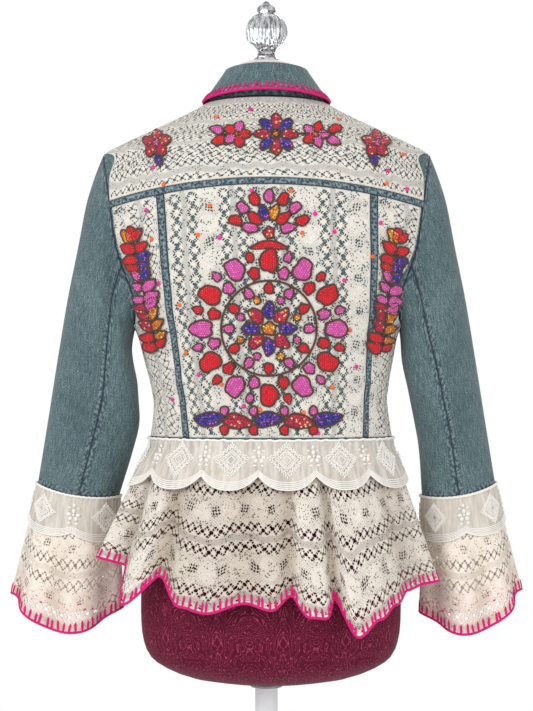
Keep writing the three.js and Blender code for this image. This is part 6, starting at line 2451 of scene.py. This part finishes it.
    def add_dots(self, finishes: Finishes) -> None:
        """Sets the small pink and orange knots on the lace."""
        pink = [(-150, 1268), (-134, 1177), (-95, 1120), (-18, 1290), (60, 1262), (-58, 1232),
                (96, 1180), (112, 1072), (-118, 1030), (-28, 1022), (64, 988), (-142, 1322),
                (152, 1318), (176, 1296), (-20, 1395), (84, 1240), (-84, 1062), (142, 1252)]
        orange = [(-70, 1272), (-143, 1232), (-85, 1236), (44, 1238), (-8, 1018), (46, 1014),
                  (-108, 1150), (104, 1118), (172, 1340), (150, 1302), (90, 1384), (-62, 1386),
                  (-100, 1090), (-56, 1050), (82, 1046), (30, 1290), (132, 1210), (-128, 1300)]
        dots = Scatter("lace_dots", finishes.dots, segments=10, rings=6)
        for spots, tint in ((pink, 0.1), (orange, 0.9)):
            x, z = np.array(spots, float).T
            level = np.full(len(x), OVERLAY[1] + self.dot_lift)
            here = on_back(x, z, level)
            dots.add(here, on_back(x + 1, z, level) - here, on_back(x, z, level + 1) - here,
                     self.dot, tint)
        dots.build("applique")


# Form and stand


@dataclass
class DressForm:
    """The padded form, its neck cap and finial, and the pole, flange and foot."""

    sides: int = 72
    bottom: float = 660.0
    top: float = 1452.0
    stretch: float = 2.9

    def build(self, finishes: Finishes) -> None:
        """Builds the form and its stand."""
        self.add_form(finishes)
        cap = [(0, 1452.3), (40.5, 1452.3), (40.2, 1455), (38.6, 1459.5), (35, 1463.5),
               (27, 1466.6), (17, 1468), (0, 1468)]
        self.turn("satin_neck_cap", cap, finishes.neck_cap, "neck_cap", "form_neck_cap")
        finial = [(0, 1468.3), (16.5, 1468.3), (16.8, 1470), (13, 1473.6), (11, 1478.9),
                  (12.6, 1484), (16, 1487.5), (20, 1490.9), (24, 1494.2), (26, 1498),
                  (27, 1502.8), (27.3, 1507), (26.6, 1511.5), (23.6, 1519.5), (19.5, 1524.5),
                  (15, 1528), (10, 1530.7), (12.4, 1533), (12.6, 1535.5), (11, 1538.6),
                  (8, 1541.4), (2.5, 1545.7), (0, 1545.9)]

        def flute(angle: Array, height: float) -> Array:
            """Cuts of the finial's bowl."""
            share = smoothstep(height, 1488, 1496) * (1 - smoothstep(height, 1518, 1526))
            return 1 - 0.07 * share * np.abs(np.sin(angle * 10))

        self.turn("crystal_finial", finial, finishes.crystal, "crystal", "finial", flute, 120)
        self.turn("stand_pole", [(0, 60.3), (14.7, 60.3), (14.7, 655.7), (0, 655.7)],
                  finishes.paint, "stand_paint", "pole")
        self.turn("flange_plate", [(0, 656), (20.4, 656), (21, 656.6), (21, 659.1), (20.4, 659.7),
                                   (0, 659.7)], finishes.flange, "flange_metal", "form_flange")
        foot = [(0, 0), (164, 0), (165, 1), (165, 6), (163.8, 8), (161, 9), (100, 11.8),
                (34, 15), (28, 16.6), (24, 19.5), (22.2, 24), (20.6, 57), (19.6, 59.6), (0, 60)]
        self.turn("round_foot", foot, finishes.paint, "stand_paint", "base")

    @staticmethod
    def turn(name: str, profile: list, material: bpy.types.Material, slot: str, node: str,
             flute: Callable | None = None, sides: int = 72) -> None:
        """Turns one piece of the stand."""
        thing = mesh_object(name, *lathe(profile, sides, flute), [material], None, 32)
        outward(thing)
        settle(thing, slot, (node,))

    def add_form(self, finishes: Finishes) -> None:
        """Builds the padded form as rings."""
        heights = np.concatenate([[663, 666, 670, 676, 683, 690, 696, 706, 716, 728, 742],
                                  np.arange(756, 1452, 12), [1452]]).astype(float)
        angle = np.arange(self.sides + 1) * FULL_TURN / self.sides
        grid = ring_point(FORM_SECTION, heights[:, None], angle[None, :-1])
        ends = [[5, 0, self.bottom], [0, 0, self.top]]
        points = np.concatenate([grid.reshape(-1, 3), ends])
        u = angle * self.stretch
        uvs = [(u[i + across], heights[r + up])
               for r in range(len(heights) - 1) for i in range(self.sides)
               for across, up in ((0, 0), (1, 0), (1, 1), (0, 1))]
        uvs += [(0, 600), (10, 620), (0, 620), (0, 1460), (0, 1450), (10, 1450)] * self.sides
        faces = bridge_to_ends(len(heights), self.sides)
        thing = mesh_object("padded_form", points, faces, [finishes.brocade], np.array(uvs))
        settle(thing, "brocade", ("form_body",))


# Studio


@dataclass
class Studio:
    """Pale floor, soft light and a camera at the photograph's angle."""

    camera_height: float = 1.0858
    camera_away: float = 2.4
    view_height: float = 0.9243
    sensor: float = 36.0
    floor_radius: float = 2.9
    light_size: float = 1.8
    aim_height: float = 1.05
    surround: float = 0.62
    lights: tuple = (("key", (-1.6, -2.2, 2.4), 42), ("fill", (2.0, -1.8, 1.5), 16),
                     ("back", (0.6, 2.4, 2.4), 30))

    def build(self) -> None:
        """Sets the camera, the lights, the world and the floor."""
        data = bpy.data.cameras.new("camera")
        data.sensor_width = self.sensor
        data.lens = self.sensor * self.camera_away / self.view_height
        data.clip_end = 50
        camera = link(bpy.data.objects.new("camera", data))
        camera.location = (0, -self.camera_away, self.camera_height)
        camera.rotation_euler = (math.pi / 2, 0, 0)
        bpy.context.scene.camera = camera
        bpy.context.scene.view_settings.view_transform = "Standard"
        self.add_world()
        for name, place, power in self.lights:
            self.add_light(name, place, power)
        self.add_floor()

    def add_light(self, name: str, place: tuple, power: float) -> None:
        """Adds a soft area light that faces the jacket."""
        data = bpy.data.lights.new(name, "AREA")
        data.size = self.light_size
        data.energy = power
        light = link(bpy.data.objects.new(name, data))
        light.location = place
        aim = np.array([0, 0, self.aim_height]) - np.array(place)
        light.rotation_euler = Vector(aim).to_track_quat("-Z", "Y").to_euler()

    def add_world(self) -> None:
        """A white surround that shows pure white and lights a little less."""
        world = bpy.data.worlds.new("studio")
        bpy.context.scene.world = world
        world.use_nodes = True
        tree = world.node_tree
        tree.nodes.clear()
        path = add_node(tree, "ShaderNodeLightPath")
        dim, white = (add_node(tree, "ShaderNodeBackground", None,
                               {"Color": (1, 1, 1, 1), "Strength": strength})
                      for strength in (self.surround, 1.0))
        both = add_node(tree, "ShaderNodeMixShader", None,
                        {0: path.outputs["Is Camera Ray"], 1: dim.outputs[0],
                         2: white.outputs[0]})
        add_node(tree, "ShaderNodeOutputWorld", None, {"Surface": both.outputs[0]})

    def add_floor(self) -> None:
        """A round pale floor."""
        count = 96
        turn = np.arange(count) * 2 * np.pi / count
        rim = np.stack([np.cos(turn), np.sin(turn), np.zeros(count)], -1)
        rim = rim * self.floor_radius / MM - np.array([0, 0, 0.4])
        floor = mesh_object("floor", rim, [list(range(count))],
                            [Plain("floor_paint", 0xF4F4F4, 0xECECEC, 0.7, grain=40).material()])


SLEEVES = (
    Sleeve(
        "left", -1,
        inner_line=(171, 174.5, 175, 173, 169, 166, 175, 194),
        fold=(110, 14, 10, 0.03, 0.6),
        folds=(
            SleeveFold(60, 0.5, 16, 0.1, 2.6, 60), SleeveFold(84, 0.42, 14, 0.08, -2.4, -50),
            SleeveFold(40, 0.72, 18, 0.09, 2.0, 70), SleeveFold(130, 0.62, 14, 0.12, -2.2, 30),
            SleeveFold(200, 0.4, 18, 0.1, 2.6, -40), SleeveFold(270, 0.5, 18, 0.09, -3, 60),
            SleeveFold(310, 0.6, 18, 0.08, 2.4, -60), SleeveFold(290, 0.25, 16, 0.12, -2.6, 20),
        ),
        hem=(335, 772, 192, 757, 52, 42),
    ),
    Sleeve(
        "right", 1,
        inner_line=(171, 174.5, 175, 177, 184, 193, 200, 205),
        fold=(108, 14, 10, 0.03, 0.6),
        folds=(
            SleeveFold(66, 0.46, 15, 0.09, 2.4, -60), SleeveFold(48, 0.6, 16, 0.08, -2.2, 50),
            SleeveFold(90, 0.8, 16, 0.08, 1.8, 40), SleeveFold(140, 0.5, 14, 0.1, 2.2, -30),
            SleeveFold(204, 0.45, 18, 0.1, -2.4, 40), SleeveFold(276, 0.45, 18, 0.1, 2.8, -50),
            SleeveFold(300, 0.62, 18, 0.08, -2.6, 60), SleeveFold(250, 0.3, 16, 0.12, 2.2, 20),
        ),
        hem=(335, 777, 205, 750, 52, 42),
    ),
)


def main() -> None:
    """Builds the jacket from the inside out, then the studio."""
    logging.basicConfig(level=logging.INFO, format="%(name)s %(message)s")
    finishes = Finishes()
    Studio().build()
    DressForm().build(finishes)
    JacketBack().build(finishes)
    JacketFront().build(finishes)
    Collar().build(finishes)
    for sleeve in SLEEVES:
        sleeve.build(finishes)
    Peplum().build(finishes)
    Motifs().build(finishes)


if __name__ == "__main__":
    main()
